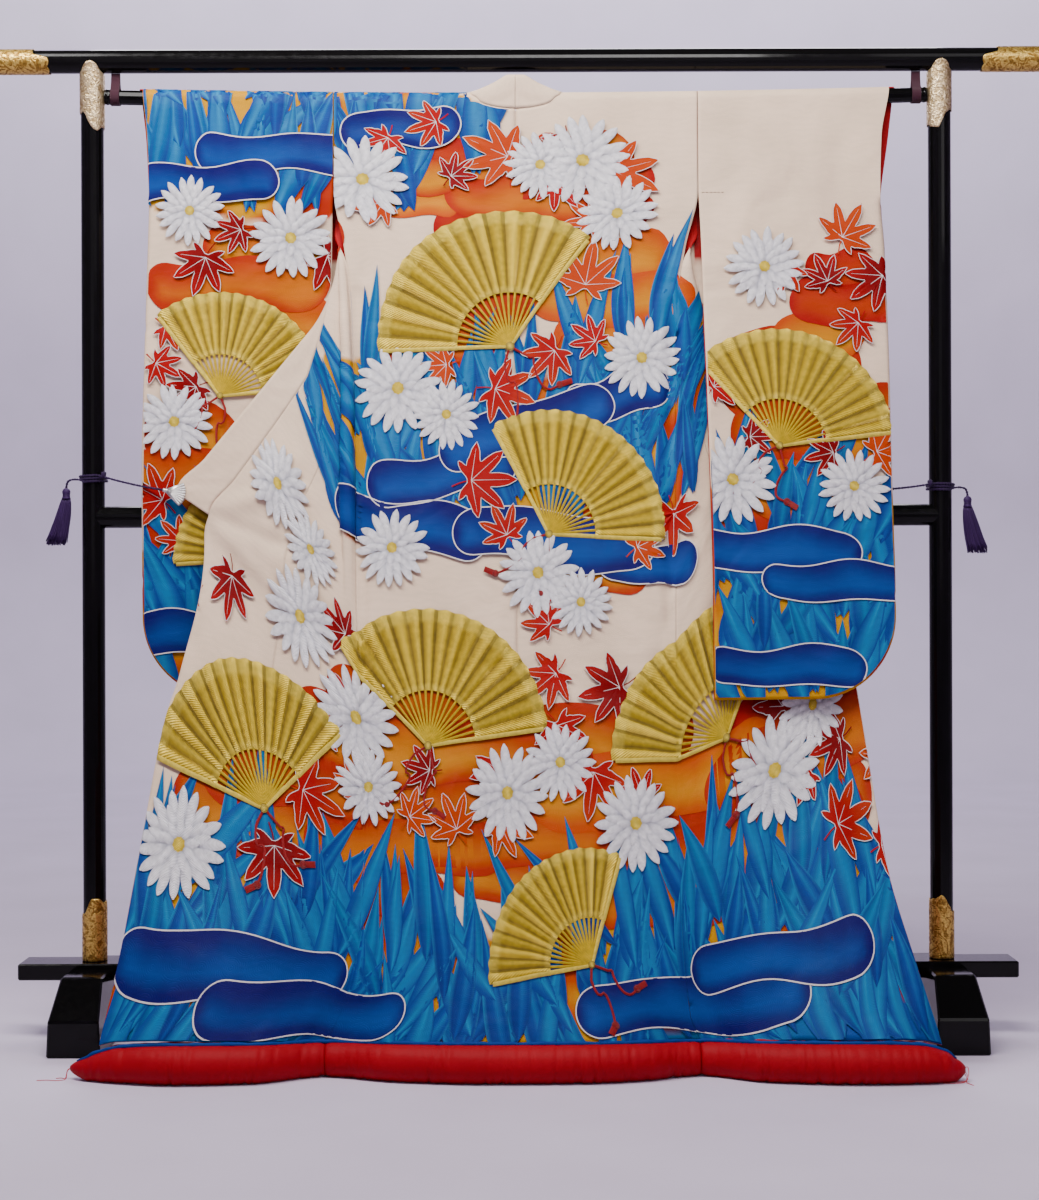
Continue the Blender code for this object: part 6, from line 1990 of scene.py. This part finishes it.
def ring_on_bar(x, half, rise):
    """A turned ring round the hanging bar."""
    rings = [
        ring_across(x + half * t, bar_z(x), BAR_RADIUS + 0.0001 + rise * math.sqrt(1 - t * t), 48)
        for t in np.linspace(-1, 1, 9)
    ]
    return np.concatenate(rings), ring_quads(9, 48).tolist()


def build_strap(side, word):
    """A flat ribbon round the bar, its two runs side by side under the rail, with worn edges."""
    x = side * STRAP_X
    radius = BAR_RADIUS + 0.0014
    top, middle = RAIL_Z - RAIL_RADIUS - 0.0008, bar_z(x)
    section = [(-0.0014, top), (-0.0022, top - 0.010), (-0.0042, top - 0.019)]
    for turn in range(-46, 227, 12):
        angle = math.radians(turn)
        section.append((-radius * math.cos(angle), middle - radius * math.sin(angle)))
    section += [(0.0042, top - 0.019), (0.0022, top - 0.010), (0.0014, top)]
    section = catmull([(0.0, y, z) for y, z in section], 3)
    columns = np.linspace(-0.5, 0.5, 13)
    along = np.gradient(section, axis=0)
    way = unit(np.stack([np.zeros(len(section)), -along[:, 2], along[:, 1]], 1))
    grid = section[:, None, :] + np.stack([columns * STRAP_WIDTH, 0 * columns, 0 * columns], 1)[None, :, :]
    grid = grid + (x, SHIFT, 0)
    run = np.arange(len(section))
    wave = 0.0002 * np.sin(run * 0.9)[:, None, None] * np.abs(columns)[None, :, None] ** 2 * 4
    way = way[:, None, :]
    points, *faces = grid_shell(grid + way * (0.0006 + wave), grid - way * (0.0005 - wave))
    add_mesh(f"ribbon_{word}", points, np.concatenate(faces), (RIBBON,), nodes=(f"bar_strap_{word}",))


# Ties


STRANDS, STRAND_LENGTH = 240, 0.086
CLIP_LENGTH, TIE_GAP, TIE_RADIUS = 0.0245, 0.0011, 0.0023
WRAP_Z = {-1: 1.000, 1: 0.981}
WRAP_START, WRAP_SWEEP, WRAP_DROP = -118, 780, 0.0112
HANG_X = 0.7998
SILVER = plain("silver_plate", np.array((0.62, 0.60, 0.56)), 0.32, 160.0, Metallic=0.8)
ENAMEL = plain("white_enamel", np.array((0.86, 0.84, 0.80)), 0.28, 120.0, Metallic=0.15)


def wound(path, radius, pitch, strands, thick):
    """Strands twisted round a path, each a thin tube."""
    run = run_along(path)
    first, second = frames_along(path, (0.1, 0.9, 0.42))
    parts = []
    for k in range(strands):
        turn = 2 * math.pi * (run / pitch + k / strands)[:, None]
        parts.append(thin_tube(path + radius * (np.cos(turn) * first + np.sin(turn) * second), thick))
    return parts


def build_tie(side, word):
    table = EDGES[side]
    corner = np.array([read(table, [COLLAR_END], c)[0] for c in (EDGE_X, EDGE_Y, EDGE_Z)])
    wrap_z = WRAP_Z[side]
    post_x = side * POST_X

    def front_at(level, share):
        length = front_length(side, np.array([level]))[0]
        return front_sheet(side, np.array([side * (HALF_BACK + share * length)]), np.array([level]))[0]

    pull = np.array((post_x - side * 0.010, -POST_RADIUS - 0.004, wrap_z)) - corner
    facing = np.cross(front_at(COLLAR_END, 0.93) - corner, front_at(COLLAR_END + 0.04, 1.0) - corner)
    facing /= np.linalg.norm(facing)
    way = pull - facing * np.dot(pull, facing)
    way /= np.linalg.norm(way)
    build_clip(side, word, corner, way)
    start = corner + way * CLIP_LENGTH
    radius = POST_RADIUS + TIE_GAP + TIE_RADIUS
    first = np.array((post_x - side * 0.012, -radius - 0.0004, wrap_z))
    run = [start + (first - start) * i / 12 + (0, 0, -0.0022 * math.sin(math.pi * i / 12)) for i in range(12)]
    steps = 66
    for i in range(steps + 1):
        angle = math.radians(WRAP_START + WRAP_SWEEP * i / steps)
        x = post_x + side * radius * math.cos(angle)
        run.append(np.array((x, radius * math.sin(angle), wrap_z - WRAP_DROP * i / steps)))
    last = run[-1]
    hang = np.array((side * HANG_X, -0.004, last[2] + 0.002))
    for share in (0.35, 0.7):
        run.append(last + (hang - last) * share + (0, 0, 0.003))
    run += [hang, hang + (side * 0.003, 0, -0.006), hang + (side * 0.004, 0, -0.012)]
    path = catmull(run, 3) + (0, SHIFT, 0)
    parts = wound(path, 0.00125, 0.011, 2, 0.00125)
    knot = first + np.array((-side * 0.011, -0.0005, 0.0004))
    for lean, size in ((0.5, 0.0042), (-0.5, 0.0040), (0.1, 0.0050)):
        turn = np.linspace(0, 2 * math.pi, 25)
        ring = np.stack([0.0016 * np.sin(turn) * lean, size * np.cos(turn), size * np.sin(turn)], 1)
        ring[:, 0] += lean * 0.0040
        parts.append(thin_tube(ring + knot + (0, SHIFT, 0), 0.0015, 8))
    joined(f"braided_tie_{word}", parts, CORD, (f"tie_{word}",))
    build_tassel(side, word, run[-1] + (0, SHIFT, -0.0008))


def build_clip(side, word, corner, way):
    """A fan-shaped clip: two jaws on the cloth, radiating bars over them and a turned neck."""
    across = np.array((-way[2], 0, way[0])) * side
    across /= np.linalg.norm(across)
    depth = np.cross(way, across)
    depth /= np.linalg.norm(depth)
    pivot = corner + way * 0.0125
    shift = np.array((0, SHIFT, 0))

    def spot(along, sideways, out):
        return pivot + way * along + across * sideways + depth * out + shift

    plates, bars = [], []
    for face in (-1, 1):
        turns = np.radians(np.linspace(-44, 44, 23))
        rim = [0.0300 - 0.0009 * (i % 2) for i in range(23)]
        outline = [(-r * math.cos(t), r * math.sin(t)) for r, t in zip(rim, turns)]
        outline += [(0.004, 0.0045), (0.004, -0.0045)]
        points = [spot(a, b, face * out) for out in (0.0030, 0.0042) for a, b in outline]
        plates.append((np.array(points), tube_faces(2, len(outline))))
        for turn in np.radians(np.linspace(-39, 39, 9)):
            along = np.linspace(0.005, 0.0292, 9)
            path = [spot(-r * math.cos(turn), r * math.sin(turn), face * 0.0046) for r in along]
            bars.append(thin_tube(path, np.linspace(0.0007, 0.0017, 9), 8))
    neck = [spot(a, 0, 0) for a in (-0.003, 0.001, 0.003, 0.006, 0.009, 0.0115, 0.0125)]
    sizes = (0.0042, 0.0046, 0.0036, 0.0040, 0.0030, 0.0036, 0.0022)
    plates.append(thin_tube(neck, sizes, 20))
    joined(f"fan_clip_{word}", plates, SILVER, (f"clip_{word}",))
    joined(f"fan_clip_bars_{word}", bars, ENAMEL)


def build_tassel(side, word, top):
    """A tassel with a bound head and loose strands that drift outwards."""
    rng = np.random.default_rng(SEED + (1 if side > 0 else 2))
    parts = []
    head = [top + (0, 0, z) for z in (0.0, -0.0025, -0.006, -0.010, -0.0125, -0.016, -0.0195)]
    parts.append(thin_tube(head, (0.0026, 0.0060, 0.0074, 0.0070, 0.0056, 0.0070, 0.0080), 24))
    for k in range(5):
        turn = np.linspace(0, 2 * math.pi, 25)
        ring = np.stack([0.0062 * np.cos(turn), 0.0062 * np.sin(turn), np.full(25, -0.0108 - 0.0011 * k)], 1)
        parts.append(thin_tube(ring + top, 0.00065))
    golden = math.pi * (3 - math.sqrt(5))
    for i in range(STRANDS):
        share = math.sqrt((i + 0.5) / STRANDS)
        angle = golden * i
        length = STRAND_LENGTH * (1 - 0.14 * rng.uniform() - 0.06 * (i % 9 == 0))
        outward = np.array((math.cos(angle), math.sin(angle) * 0.72, 0)) * share
        lean = np.array((side * 0.017, -0.003, 0))
        sway, phase = rng.uniform(-0.0016, 0.0016), rng.uniform(0, 6.28)
        path = []
        for t in np.linspace(0, 1, 9):
            drop = -0.0165 - length * t
            spread = 0.0066 + 0.0118 * t**0.7
            stray = np.array((math.sin(5 * t + phase), math.cos(4 * t + phase), 0)) * sway * t
            path.append(top + outward * spread + lean * t**1.3 + stray + (0, 0, drop))
        parts.append(thin_tube(path, np.linspace(0.00070, 0.00080, 9), 4))
    joined(f"full_tassel_{word}", parts, TASSEL, (f"tassel_{word}",))


TASSEL = plain("tassel_silk", PURPLE, 0.6, 300.0, Specular_IOR_Level=0.25)
for side, word in SIDES:
    build_plates(side, word)
    build_strap(side, word)
    build_tie(side, word)
rings = []
for side in (-1, 1):
    for inset, half, rise in ((0.0035, 0.0022, 0.0006), (0.0095, 0.0012, 0.0005), (0.0125, 0.0012, 0.0005)):
        rings.append(ring_on_bar(side * (BAR_HALF - inset), half, rise))
joined("bar_end_rings", rings, LACQUER)

for name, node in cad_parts.items():
    if name.startswith(("post_left", "post_right", "top_rail", "hanging_bar", "mid_rail", "foot_")):
        node.data.materials.clear()
        node.data.materials.append(LACQUER)
